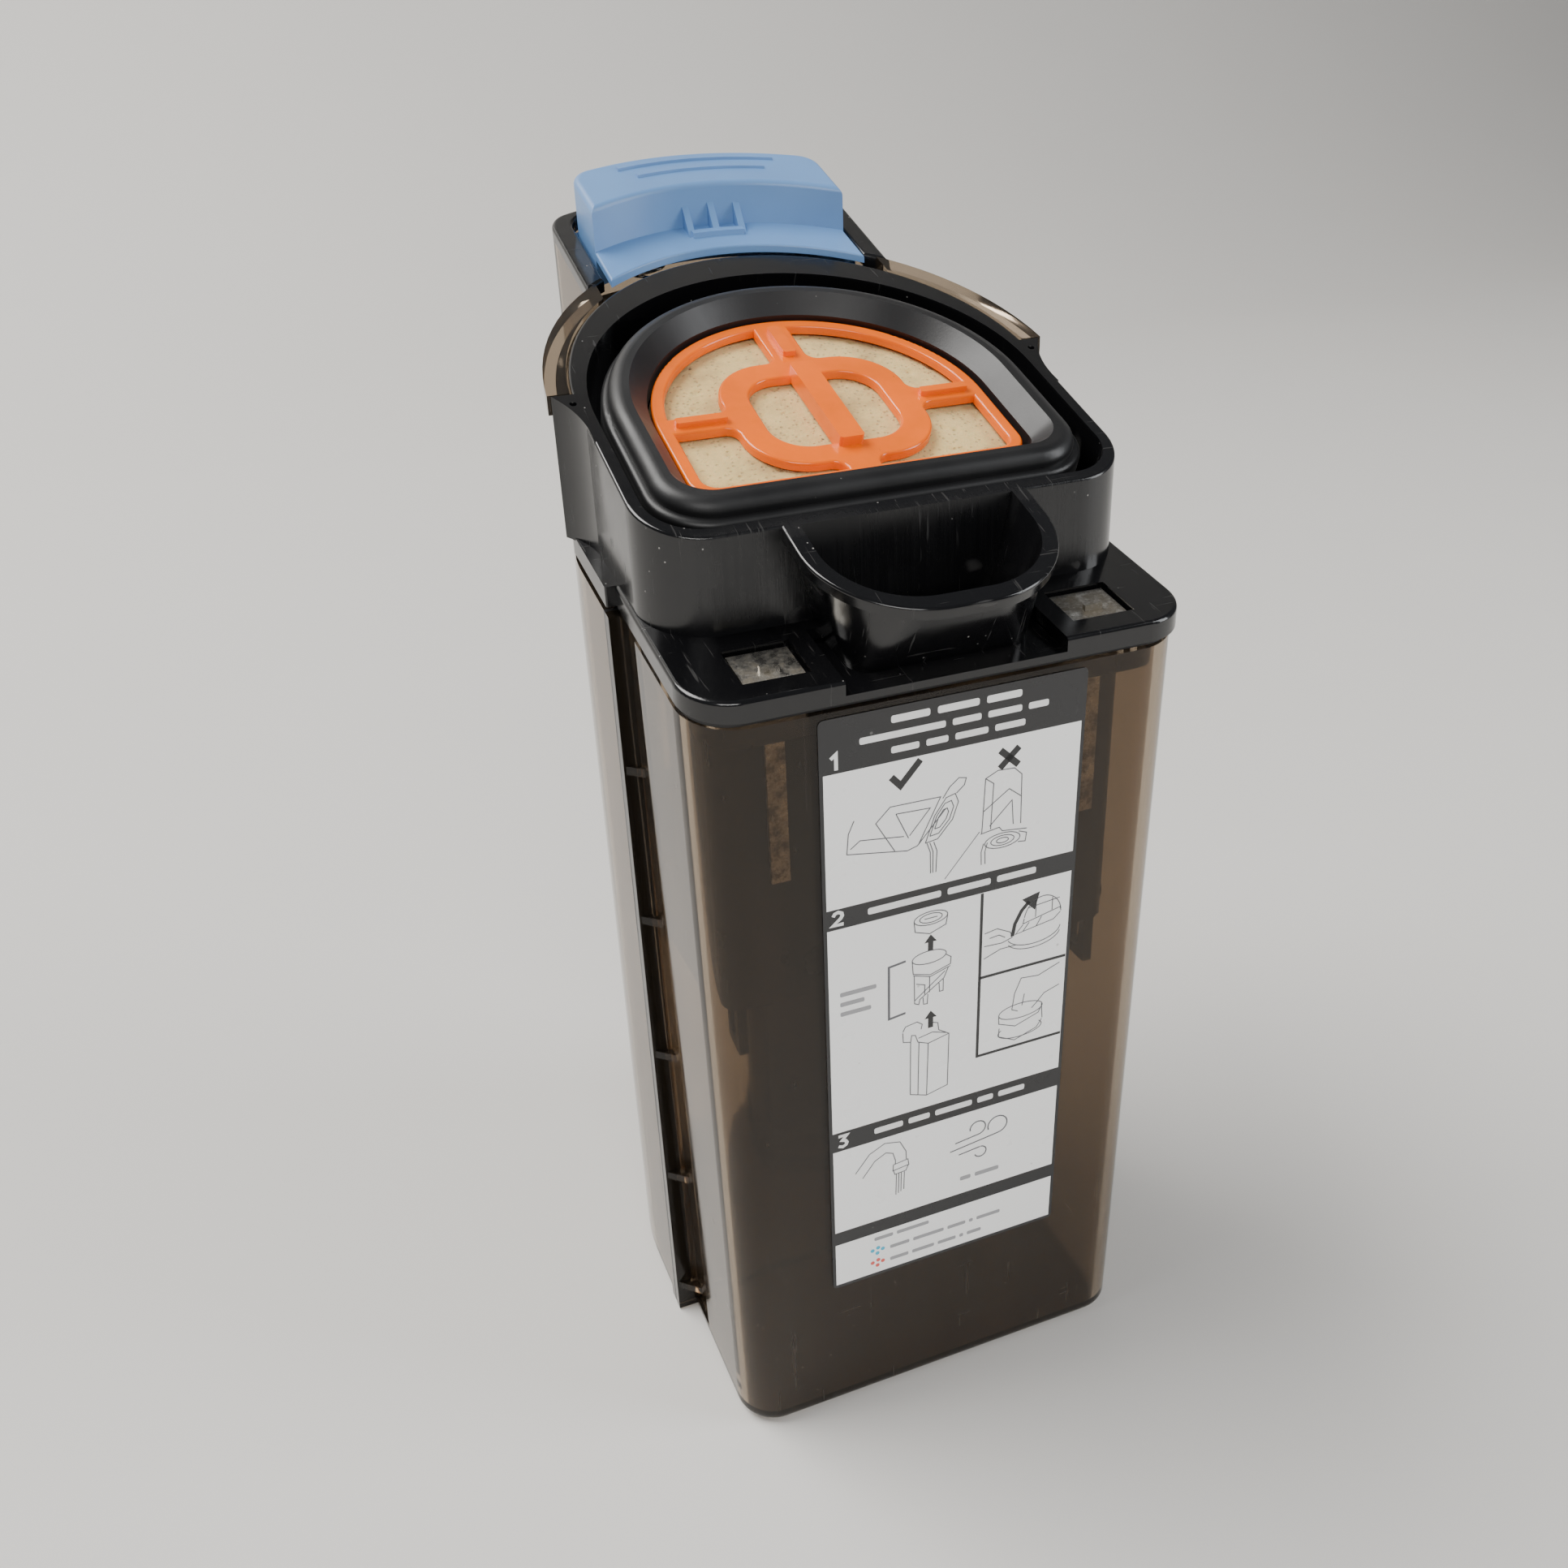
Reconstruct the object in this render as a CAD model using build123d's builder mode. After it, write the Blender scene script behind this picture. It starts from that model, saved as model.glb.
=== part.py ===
from build123d import *
import math
import os

# Removable dirty-water tank of an upright wet and dry floor washer.
# Millimetres. X to the right, Y to the back, Z up; the origin is the middle of the floor face.

# --- driving dimensions ---
front_half = 41.0        # half the width of the front shell at the floor
front_y = -48.0          # front face at the floor
front_corner = 7.5
draft = 0.6              # degrees that the front shell leans out
seam_y = -10.5           # plane where the front shell meets the rear shell
seal_thick = 0.8
flange_thick = 2.0
back_radius = 44.5       # outside radius of the round back
back_centre = 3.2        # y of the centre of the round back
wall = 2.0
foot_round = 2.5         # rounding where the walls meet the floor face
channel_deep = 0.8       # flat groove along each flange
channel_long = 10.0
gusset_count = 5
gusset_pitch = 30.5
gusset_first = 6.0
step_y = 7.5             # where the rear shell steps up beside the lid

lid_front_y = -50.4
lid_rise = math.degrees(math.atan(0.18))    # slope of the deck
lid_z = 151.6            # underside of the lid at its front edge
slab = 3.4               # height of the lid's deck
seal_gap = 0.1
lid_seal_thick = 1.4
rim_rise = math.degrees(math.atan(0.37))    # slope of the collar rim and the filter
collar_front_y = -32.5
rim_z = 174.0            # height of the rim at the front of the collar
collar_half = 42.2
collar_wall = 2.2
moat_deep = 9.0
well_floor = 2.5
well_deep = 24.0

deck_half = 42.8
notch_floor = 1.0
spout_half = 21.1
spout_reach = 24.2
notch_half = 18.8
plate_wide = 10.0
plate_long = 8.3
plate_x = 27.9
plate_y = -41.2
probe_y = -42.7
probe_long = 34.0

filter_front = 6.3       # front of the filter gasket, measured up the slope from the collar front
filter_back = 70.2
filter_half = 37.2
roll_wide = 6.6
filter_corner = 9.3

basket_half = 37.4
basket_front = -38.8
basket_back = 9.0
basket_foot = 93.0
basket_wall = 1.8

tube_y = 28.0
tube_radius = 13.0
tube_wall = 1.5
tube_top = 140.0
port_radius = 11.1

latch_half = 25.3
latch_face = 52.5        # radius of the button's front face about the round back's centre
latch_back = 65.8
latch_proud = 8.0
housing_half = 30.2
housing_back = 69.0

tall = 240.0             # taller than anything, for solids that are then cut to a plane


def plane_through(y, z, rise):
    """A plane that holds the X direction and climbs towards the back."""
    angle = math.radians(rise)
    return Plane(origin=(0, y, z), x_dir=(1, 0, 0), z_dir=(0, -math.sin(angle), math.cos(angle)))


lid_plane = plane_through(lid_front_y, lid_z, lid_rise)
deck_plane = lid_plane.offset(slab)
rim_plane = plane_through(collar_front_y, rim_z, rim_rise)
rim_axis = Axis((0, 0, 0), rim_plane.z_dir)
deck_axis = Axis((0, 0, 0), deck_plane.z_dir)


def height_on(plane, y):
    """Height of a tilted plane above a given y."""
    return plane.origin.Z - plane.z_dir.Y / plane.z_dir.Z * (y - plane.origin.Y)


def d_outline(half_width, front, back, corner=0.0):
    """A D: straight front edge with round corners, and a half-round back."""
    turn = back - half_width
    with BuildSketch() as outline:
        with BuildLine():
            Polyline((half_width, turn), (half_width, front), (-half_width, front), (-half_width, turn))
            ThreePointArc((-half_width, turn), (0, back), (half_width, turn))
        make_face()
        if corner > 0:
            fillet(outline.vertices().group_by(Axis.Y)[0], corner)
    return outline.sketch


def sector_outline(half_width, inner, outer, corner=0.0):
    """A band about the round back's centre, with straight sides."""
    near = back_centre + math.sqrt(inner**2 - half_width**2)
    far = back_centre + math.sqrt(outer**2 - half_width**2)
    with BuildSketch() as outline:
        with BuildLine():
            ThreePointArc((-half_width, near), (0, back_centre + inner), (half_width, near))
            Line((half_width, near), (half_width, far))
            ThreePointArc((half_width, far), (0, back_centre + outer), (-half_width, far))
            Line((-half_width, far), (-half_width, near))
        make_face()
        if corner > 0:
            fillet(outline.vertices().group_by(Axis.Y)[-1], corner)
    return outline.sketch


def front_outline(half_width, front, corner, back):
    """A rectangle with round front corners."""
    with BuildSketch() as outline:
        with Locations((0, (front + back) / 2)):
            Rectangle(2 * half_width, back - front)
        fillet(outline.vertices().group_by(Axis.Y)[0], corner)
    return outline.sketch


def upright(outline, low, high):
    """A vertical solid of an outline between two tilted planes."""
    solid = extrude(outline, tall)
    solid = split(solid, bisect_by=low, keep=Keep.TOP)
    return split(solid, bisect_by=high, keep=Keep.BOTTOM)


def save(piece, label):
    """Name a finished piece and write it."""
    piece.part.label = label
    export_step(piece.part, f"parts/{label}.step")


os.makedirs("parts", exist_ok=True)
tank_rim = lid_plane.offset(-lid_seal_thick - seal_gap)

# --- front shell ---
seam_front = seam_y - seal_thick / 2
channel_y = seam_front - flange_thick - channel_long / 2
with BuildPart() as tank_body:
    with BuildSketch():
        add(front_outline(front_half, front_y, front_corner, back_centre))
    extrude(amount=tall, taper=-draft)
    fillet(tank_body.faces().sort_by(Axis.Z)[0].edges().group_by(Axis.Y)[0], foot_round)
    with BuildSketch():
        with Locations((0, seam_front - flange_thick / 2)):
            Rectangle(2 * back_radius, flange_thick)
    extrude(amount=tall)
    with BuildSketch(Plane.XY.offset(wall)):
        add(front_outline(front_half - wall, front_y + wall, front_corner - wall, back_centre + 5))
    extrude(amount=tall, taper=-draft, mode=Mode.SUBTRACT)
    for side in (-1, 1):
        with BuildSketch(Plane.XY.offset(foot_round + 1)):
            with Locations((side * (front_half - channel_deep + 3), channel_y)):
                Rectangle(6, channel_long)
        extrude(amount=tall, taper=draft, mode=Mode.SUBTRACT)
    for level in range(gusset_count):
        for side in (-1, 1):
            with BuildSketch(Plane.XY.offset(gusset_first + level * gusset_pitch)):
                with BuildLine():
                    Polyline(
                        (side * (front_half - 1.2), seam_front - flange_thick - 4.0),
                        (side * (back_radius - 0.4), seam_front - flange_thick),
                        (side * (front_half - 1.2), seam_front - flange_thick),
                        close=True,
                    )
                make_face()
            extrude(amount=1.6)
    split(bisect_by=Plane(origin=(0, seam_front, 0), z_dir=(0, 1, 0)), keep=Keep.BOTTOM)
    split(bisect_by=tank_rim, keep=Keep.BOTTOM)
save(tank_body, "tank_body")

# --- rear shell: round back, stepped top edge, rim bead, latch housing and intake socket ---
seam_back = seam_y + seal_thick / 2
back_y = back_centre + back_radius
bead_out = 1.9
housing_top = rim_plane.offset(-2.2)
housing_foot = plane_through(46.0, 150.0, 42.0)
housing_floor = housing_foot.offset(wall)
spring_seat = rim_plane.offset(-16.4)
screw_x = 20.0
screw_y = 57.0
socket_radius = tube_radius + 1.8
seal_radius = tube_radius + 1.2

bead_band = upright(
    d_outline(back_radius + bead_out, 0, back_y + bead_out), rim_plane.offset(-3.0), rim_plane
)
bead_ring = split(bead_band, bisect_by=Plane(origin=(0, step_y, 0), z_dir=(0, 1, 0)), keep=Keep.TOP)
housing_block = upright(
    sector_outline(housing_half, back_radius - 1, housing_back, 6.0), housing_foot, housing_top
)
housing_room = upright(
    sector_outline(housing_half - wall, back_radius, housing_back - wall, 4.0),
    housing_floor, rim_plane.offset(5),
)
latch_gap = upright(
    sector_outline(housing_half - wall, back_radius - 5, back_radius + 3),
    rim_plane.offset(-7.5), rim_plane.offset(5),
)
with BuildPart() as rear_cover:
    with BuildSketch():
        add(d_outline(back_radius, seam_back, back_y))
    extrude(amount=tall)
    fillet(rear_cover.faces().sort_by(Axis.Z)[0].edges().filter_by(GeomType.CIRCLE), foot_round)
    add(bead_ring)
    add(housing_block)
    with BuildSketch(Plane.XY.offset(wall)):
        add(d_outline(back_radius - wall, seam_back - 20, back_y - wall))
    extrude(amount=tall, mode=Mode.SUBTRACT)
    with BuildSketch():
        for side in (-1, 1):
            with Locations((side * (back_radius - 2.0), seam_back + flange_thick / 2)):
                Rectangle(4.0, flange_thick)
    extrude(amount=tall)
    with BuildSketch():
        with Locations((0, tube_y)):
            Circle(socket_radius)
    extrude(amount=12)
    with BuildSketch():
        with Locations((0, tube_y)):
            Circle(seal_radius)
    extrude(amount=4.2, mode=Mode.SUBTRACT)
    with BuildSketch(Plane.XY.offset(4.2)):
        with Locations((0, tube_y)):
            Circle(tube_radius - tube_wall)
    extrude(amount=2.0, mode=Mode.SUBTRACT)
    with BuildSketch(Plane.XY.offset(6.2)):
        with Locations((0, tube_y)):
            Circle(tube_radius)
    extrude(amount=8, mode=Mode.SUBTRACT)
    add(housing_room, mode=Mode.SUBTRACT)
    add(latch_gap, mode=Mode.SUBTRACT)
    with BuildSketch(Plane.YZ):
        with BuildLine():
            Polyline(
                (seam_y - 10, height_on(tank_rim, seam_y - 10)),
                (step_y, height_on(tank_rim, step_y)),
                (step_y, height_on(rim_plane, step_y)),
                (90, height_on(rim_plane, 90)),
                (90, tall + 30),
                (seam_y - 10, tall + 30),
                close=True,
            )
        make_face()
    extrude(amount=60, both=True, mode=Mode.SUBTRACT)
save(rear_cover, "rear_cover")

# --- seam seal: the dark strip welded between the two shells ---
with BuildPart() as seam_seal:
    with BuildSketch(Plane(origin=(0, seam_front, 0), x_dir=(-1, 0, 0), z_dir=(0, 1, 0))):
        with Locations((0, tall / 2 + 0.2)):
            Rectangle(2 * back_radius, tall)
        with Locations((0, tall / 2 + wall)):
            Rectangle(2 * (back_radius - 3.4), tall, mode=Mode.SUBTRACT)
    extrude(amount=seal_thick)
    split(bisect_by=tank_rim, keep=Keep.BOTTOM)
save(seam_seal, "seam_seal")

# --- instruction label on the leaning front face ---
label_wide = 46.5
label_tall = 117.6
label_low = 31.6
face_lean = math.radians(draft)
front_face = Plane(
    origin=(0, front_y, 0), x_dir=(1, 0, 0), z_dir=(0, -math.cos(face_lean), -math.sin(face_lean))
)
with BuildPart() as instruction_label:
    with BuildSketch(front_face):
        with Locations((0, label_low + label_tall / 2)):
            RectangleRounded(label_wide, label_tall, 1.0)
    extrude(amount=0.2)
save(instruction_label, "instruction_label")

# --- intake: seal in the floor socket, rising pipe and hood ---
with BuildPart() as inlet_seal:
    with BuildSketch(Plane.XY.offset(0.6)):
        with Locations((0, tube_y)):
            Circle(seal_radius)
            Circle(port_radius, mode=Mode.SUBTRACT)
    extrude(amount=3.6)
    fillet(inlet_seal.edges().group_by(Axis.Z)[0].sort_by(SortBy.RADIUS)[-1], 0.8)
save(inlet_seal, "inlet_seal")

with BuildPart() as intake_pipe:
    with BuildSketch(Plane.XY.offset(6.2)):
        with Locations((0, tube_y)):
            Circle(tube_radius)
            Circle(tube_radius - tube_wall, mode=Mode.SUBTRACT)
    extrude(amount=tube_top - 6.2)
save(intake_pipe, "intake_pipe")

hood_wall = 1.4
hood_rise = 16.0
with BuildPart() as intake_hood:
    with BuildSketch(Plane.XY.offset(tube_top - 6)):
        with Locations((0, tube_y)):
            Circle(tube_radius + hood_wall)
    extrude(amount=6 + hood_rise)
    fillet(intake_hood.edges().group_by(Axis.Z)[-1], 4.0)
    with BuildSketch(Plane.XY.offset(tube_top - 6)):
        with Locations((0, tube_y)):
            Circle(tube_radius)
    extrude(amount=6 + hood_rise - hood_wall, mode=Mode.SUBTRACT)
    with BuildSketch(Plane.XY.offset(tube_top + 1)):
        with Locations((0, tube_y - tube_radius)):
            Rectangle(3 * tube_radius, 2 * tube_radius - 6)
    extrude(amount=hood_rise - 4, mode=Mode.SUBTRACT)
save(intake_hood, "intake_hood")

# --- latch: button over two springs, held down by a rim frame ---
spring_x = 12.0
spring_y = 60.0
spring_coil = 3.0
spring_wire = 0.6
button_top = rim_plane.offset(latch_proud)
button_flange = rim_plane.offset(-2.6)
button_foot = rim_plane.offset(-5.0)
shelf_top = rim_plane.offset(0.8)
shelf_foot = rim_plane.offset(-0.5)

frame_ring = upright(
    sector_outline(housing_half, back_radius + 2, housing_back, 6.0), housing_top, rim_plane
)
frame_room = upright(
    sector_outline(latch_half + 0.8, back_radius - 5, latch_back + 0.8, 5.0),
    housing_top.offset(-1), rim_plane.offset(1),
)
with BuildPart() as latch_frame:
    add(frame_ring)
    add(frame_room, mode=Mode.SUBTRACT)
    fillet(latch_frame.faces().sort_by(rim_axis)[-1].outer_wire().edges(), 0.7)
save(latch_frame, "latch_frame")

seat_solid = upright(
    sector_outline(housing_half - wall - 0.3, 48.5, 66.4, 4.0), spring_seat, spring_seat.offset(1.6)
)
seat_z = height_on(spring_seat, spring_y) + 1.9
with BuildPart() as spring_plate:
    add(seat_solid)
    with BuildSketch(Plane.XY.offset(seat_z - 1.2)):
        with Locations((-spring_x, spring_y), (spring_x, spring_y)):
            Circle(spring_coil - spring_wire)
    extrude(amount=4.2)
    with BuildSketch():
        with Locations((-screw_x, screw_y), (screw_x, screw_y)):
            Circle(1.3)
    extrude(amount=tall, mode=Mode.SUBTRACT)
save(spring_plate, "spring_plate")

button_body = upright(sector_outline(latch_half, latch_face, latch_back, 5.0), button_foot, button_top)
button_body = fillet(button_body.faces().sort_by(rim_axis)[-1].edges(), 1.2)
button_room = upright(
    sector_outline(latch_half - wall, latch_face + wall, latch_back - wall, 3.5),
    button_foot.offset(-1), button_top.offset(-wall),
)
button_rim = upright(
    sector_outline(latch_half + 2.0, latch_face, latch_back + 0.6, 5.5), button_foot, button_flange
)
button_shelf = upright(sector_outline(latch_half, back_radius - 0.5, latch_face + 1), shelf_foot, shelf_top)
button_shelf = fillet(button_shelf.faces().sort_by(rim_axis)[-1].edges(), 0.4)
button_ridges = [
    upright(sector_outline(half, radius, radius + 1.0), button_top.offset(-0.2), button_top.offset(0.45))
    for half, radius in ((16.0, 61.6), (13.0, 57.8))
]
fin_gap = 5.2
fin_wide = 1.3
fin_lip = upright(
    sector_outline(fin_gap, latch_face - 4.4, latch_face - 3.2),
    shelf_top.offset(-0.3), shelf_top.offset(0.9),
)
with BuildPart() as latch_button:
    add(button_body)
    add(button_rim)
    add(button_room, mode=Mode.SUBTRACT)
    add(button_shelf)
    add(button_ridges)
    for place in (-1, 0, 1):
        with BuildSketch(Plane.YZ.offset((place * fin_gap) - fin_wide / 2)):
            near = back_centre + latch_face - 4.6
            far = back_centre + latch_face + 0.4
            with BuildLine():
                Polyline(
                    (near, height_on(rim_plane, near) + 0.4),
                    (far, height_on(rim_plane, far) + 5.4),
                    (far, height_on(rim_plane, far) + 0.4),
                    close=True,
                )
            make_face()
        extrude(amount=fin_wide)
    add(fin_lip)
save(latch_button, "latch_button")

button_roof = height_on(button_top.offset(-wall), spring_y)
spring_top = button_roof - 2.4
spring_turns = 5
with BuildPart() as latch_springs:
    for side in (-1, 1):
        start = seat_z + 0.7
        rise = spring_top - start - 0.4
        with BuildLine(Plane.XY.offset(start).move(Location((side * spring_x, spring_y, 0)))) as coil:
            Helix(pitch=rise / spring_turns, height=rise, radius=spring_coil)
        with BuildSketch(Plane(origin=coil.line @ 0, z_dir=coil.line % 0)):
            Circle(spring_wire / 2)
        sweep(path=coil.line, is_frenet=True)
save(latch_springs, "latch_springs")

with BuildPart() as latch_screws:
    for side in (-1, 1):
        with BuildSketch(Plane.XY.offset(height_on(spring_seat, screw_y) - 5)):
            with Locations((side * screw_x, screw_y)):
                Circle(1.2)
        extrude(amount=7.6)
        with BuildSketch(Plane.XY.offset(height_on(spring_seat, screw_y) + 2.6)):
            with Locations((side * screw_x, screw_y)):
                Circle(2.4)
                RectangleRounded(2.6, 0.6, 0.2, mode=Mode.SUBTRACT)
        extrude(amount=1.4)
save(latch_screws, "latch_screws")

# --- lid: deck, collar, filter well and pour spout in one moulding ---
collar_back = back_centre + collar_half
slab_front = upright(
    front_outline(deck_half, lid_front_y, front_corner + 1.0, seam_y), lid_plane, deck_plane
)
slab_front = fillet(slab_front.faces().sort_by(deck_axis)[-1].edges(), 0.7)
slab_sides = upright(front_outline(back_radius, seam_y - 2, 0.3, step_y - 0.3), lid_plane, deck_plane)
collar_outline = d_outline(collar_half, collar_front_y, collar_back, 10.9)
collar_block = upright(collar_outline, lid_plane, rim_plane)
collar_block = fillet(collar_block.faces().sort_by(rim_axis)[-1].edges(), 0.5)
collar_room = upright(
    d_outline(collar_half - collar_wall, collar_front_y + collar_wall, collar_back - collar_wall, 8.7),
    lid_plane.offset(-1), rim_plane.offset(-moat_deep - well_floor),
)
slab_room = upright(
    front_outline(38.5, lid_front_y + 4.5, 4.0, collar_front_y + 1),
    lid_plane.offset(-1), deck_plane.offset(-2),
)
notch_plate = upright(
    front_outline(notch_half + 2, lid_front_y + 2, 1.0, collar_front_y),
    lid_plane, lid_plane.offset(notch_floor),
)
plug_ring = upright(
    front_outline(39.6, front_y + 1.0, 6.0, seam_y - 4)
    - front_outline(38.1, front_y + 2.5, 4.5, seam_y + 4),
    lid_plane.offset(-6), lid_plane.offset(0.4),
)
plate_plane = plane_through(plate_y, height_on(deck_plane.offset(-1.6), plate_y), lid_rise)
spout_inner_half = spout_half - 2.9
chute_half = 15.2
chute_front = -45.3


def spout_outline(half_width, reach, corner):
    """Half-moon of the pour spout, in front of the collar."""
    return front_outline(half_width, -reach, corner, 1.0)


def flare_outline(side):
    """Shoulder that widens from the collar to the rear shell's front edge."""
    with BuildSketch() as outline:
        with BuildLine():
            Line((side * (collar_half - 1), -6.0), (side * collar_half, -6.0))
            RadiusArc((side * collar_half, -6.0), (side * 45.6, step_y - 0.3), side * 19.0)
            Line((side * 45.6, step_y - 0.3), (side * (collar_half - 1), step_y - 0.3))
            Line((side * (collar_half - 1), step_y - 0.3), (side * (collar_half - 1), -6.0))
        make_face()
    return outline.sketch


flares = [upright(flare_outline(side), deck_plane.offset(-0.5), rim_plane) for side in (-1, 1)]

with BuildPart() as spout_shell:
    with BuildSketch(Plane.XY.offset(height_on(lid_plane, chute_front) + 0.6)):
        add(front_outline(chute_half, chute_front, 3.0, collar_front_y + 1))
    with BuildSketch(rim_plane.offset(-1.8)):
        add(spout_outline(spout_half - 1.6, spout_reach - 2.2, 15.0))
    loft()
    with BuildSketch(rim_plane):
        add(spout_outline(spout_half, spout_reach, 18.0))
    extrude(amount=-2.0)
    fillet(spout_shell.faces().sort_by(rim_axis)[-1].edges(), 0.5)
with BuildPart() as spout_room:
    with BuildSketch(Plane.XY.offset(height_on(lid_plane, chute_front) - 4)):
        add(front_outline(chute_half - 3.4, chute_front + 3.4, 2.0, collar_front_y - 0.6))
    with BuildSketch(rim_plane.offset(0.01)):
        with Locations((0, -1.2)):
            add(spout_outline(spout_inner_half, spout_reach - 4.4, 14.0))
    loft()

notch_level = Plane(
    origin=(0, lid_front_y - 1, lid_z + notch_floor), x_dir=(1, 0, 0), z_dir=lid_plane.z_dir
)
with BuildPart() as lid_collar:
    add(slab_front)
    add(slab_sides)
    with BuildSketch(notch_level):
        with Locations((0, 8.0)):
            Rectangle(2 * notch_half, 18.0)
    extrude(amount=10, mode=Mode.SUBTRACT)
    add(collar_block)
    add(flares)
    add(slab_room, mode=Mode.SUBTRACT)
    add(notch_plate)
    add(collar_room, mode=Mode.SUBTRACT)
    add(spout_shell)
    add(spout_room, mode=Mode.SUBTRACT)
    add(plug_ring)
    with BuildSketch(rim_plane):
        add(d_outline(collar_half - collar_wall, 2.2, 75.3, 8.7))
    extrude(amount=-moat_deep, mode=Mode.SUBTRACT)
    with BuildSketch(rim_plane.offset(-moat_deep)):
        add(d_outline(34.6, 9.0, 68.0, 7.0))
    extrude(amount=-(well_deep - moat_deep))
    with BuildSketch(rim_plane.offset(-moat_deep)):
        add(d_outline(33.0, 10.6, 66.4, 5.4))
    extrude(amount=-(well_deep - moat_deep - 1.5), mode=Mode.SUBTRACT)
    with BuildSketch(rim_plane.offset(-well_deep + 2)):
        add(d_outline(30.0, 13.6, 63.4, 3.0))
    extrude(amount=-4, mode=Mode.SUBTRACT)
    with BuildSketch():
        for side in (-1, 1):
            with Locations((side * 42.6, 4.5)):
                Circle(0.6)
    extrude(amount=tall, mode=Mode.SUBTRACT)
    for side in (-1, 1):
        with BuildSketch(plate_plane):
            with Locations((side * plate_x, 0)):
                Rectangle(plate_wide + 1.2, plate_long + 1.2)
        extrude(amount=3, mode=Mode.SUBTRACT)
        with BuildSketch():
            with Locations((side * plate_x, probe_y)):
                Rectangle(4.6, 2.6)
        extrude(amount=tall, mode=Mode.SUBTRACT)
save(lid_collar, "lid_collar")

seal_outer = front_outline(42.0, lid_front_y + 1.6, front_corner, step_y - 4)
seal_outer = seal_outer + d_outline(collar_half, collar_front_y, collar_back)
seal_inner = front_outline(39.8, lid_front_y + 3.2, 6.2, 3.2)
seal_inner = seal_inner + d_outline(39.8, collar_front_y, back_centre + 39.8)
seal_ring = upright(seal_outer - seal_inner, lid_plane.offset(-lid_seal_thick), lid_plane.offset(-0.02))
with BuildPart() as lid_seal:
    add(seal_ring)
save(lid_seal, "lid_seal")

# --- level contacts: plates on the deck with probes that reach down into the tank ---
for side, hand in ((-1, "left"), (1, "right")):
    with BuildPart() as contact:
        with BuildSketch(plate_plane.offset(0.05)):
            with Locations((side * plate_x, 0)):
                Rectangle(plate_wide, plate_long)
        extrude(amount=0.8)
        fillet(contact.faces().sort_by(deck_axis)[-1].edges().sort_by(Axis.Y)[0], 0.7)
        with BuildSketch(Plane.XY.offset(height_on(lid_plane, plate_y) - probe_long)):
            with Locations((side * plate_x, probe_y)):
                Rectangle(3.2, 0.8)
        extrude(amount=probe_long + 3.4)
    save(contact, f"contact_{hand}")

with BuildPart() as probe_grommets:
    for side in (-1, 1):
        with BuildSketch(Plane.XY.offset(height_on(lid_plane, plate_y) - 2.6)):
            with Locations((side * plate_x, probe_y)):
                RectangleRounded(6.0, 4.0, 1.0)
                Rectangle(3.2, 0.8, mode=Mode.SUBTRACT)
        extrude(amount=2.4)
save(probe_grommets, "probe_grommets")

# --- strainer: framed basket under the lid with a sloping debris grid ---
basket_top = lid_plane.offset(-0.02)
basket_mid = (basket_front + basket_back) / 2
basket_deep = basket_back - basket_front
basket_shell = upright(
    front_outline(basket_half, basket_front, 4.0, basket_back), Plane.XY.offset(basket_foot), basket_top
)
with BuildPart() as strainer_basket:
    add(basket_shell)
    with BuildSketch(Plane.XY.offset(basket_foot)):
        add(
            front_outline(
                basket_half - basket_wall, basket_front + basket_wall, 2.2, basket_back - basket_wall
            )
        )
    extrude(amount=tall, mode=Mode.SUBTRACT)
    with BuildSketch(Plane.XZ.offset(-basket_back - 1)):
        with Locations((0, 124)):
            RectangleRounded(2 * basket_half - 14, 42, 3)
    extrude(amount=6, mode=Mode.SUBTRACT)
    with BuildSketch(Plane.XZ.offset(-basket_front + 1)):
        with Locations((0, 124)):
            RectangleRounded(36, 50, 3)
        with Locations((0, 154)):
            Rectangle(34, 16)
    extrude(amount=-6, mode=Mode.SUBTRACT)
    with BuildSketch(Plane.YZ):
        with Locations((basket_mid + 5, 130)):
            RectangleRounded(basket_deep - 22, 34, 3)
    extrude(amount=60, both=True, mode=Mode.SUBTRACT)
    for side in (-1, 1):
        for depth in (basket_front + 4.5, basket_back - 4.5):
            with BuildSketch(Plane.YZ.offset(side * (basket_half - 3.2) - basket_wall / 2)):
                with Locations((depth, basket_foot - 2)):
                    Rectangle(7.0, 16.0)
                with Locations((depth, basket_foot - 4)):
                    SlotOverall(8.0, 3.0, rotation=90, mode=Mode.SUBTRACT)
            extrude(amount=basket_wall)
    with BuildSketch(Plane.YZ):
        with BuildLine():
            Polyline((basket_front + 1, 99.0), (basket_front + 1, 97.0), (basket_back - 1, 115.0),
                     (basket_back - 1, 117.0), close=True)
        make_face()
    extrude(amount=basket_half - 1, both=True)
    with BuildSketch(Plane.XY.offset(basket_foot - 1)):
        with Locations((0, basket_mid)):
            Rectangle(2 * basket_half - 9, basket_deep - 9)
    extrude(amount=30, mode=Mode.SUBTRACT)
save(strainer_basket, "strainer_basket")

grid_rise = math.degrees(math.atan2(18.0, basket_deep - 2))
grid_plane = plane_through(basket_mid, 108.15, grid_rise)
with BuildPart() as debris_grid:
    with BuildSketch(grid_plane):
        RectangleRounded(2 * basket_half - 2 * basket_wall - 1.0, basket_deep - 2 * basket_wall - 1.0, 2)
        with GridLocations(7.4, 6.6, 9, 6):
            RegularPolygon(2.5, 6, mode=Mode.SUBTRACT)
    extrude(amount=1.2)
save(debris_grid, "debris_grid")

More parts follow.
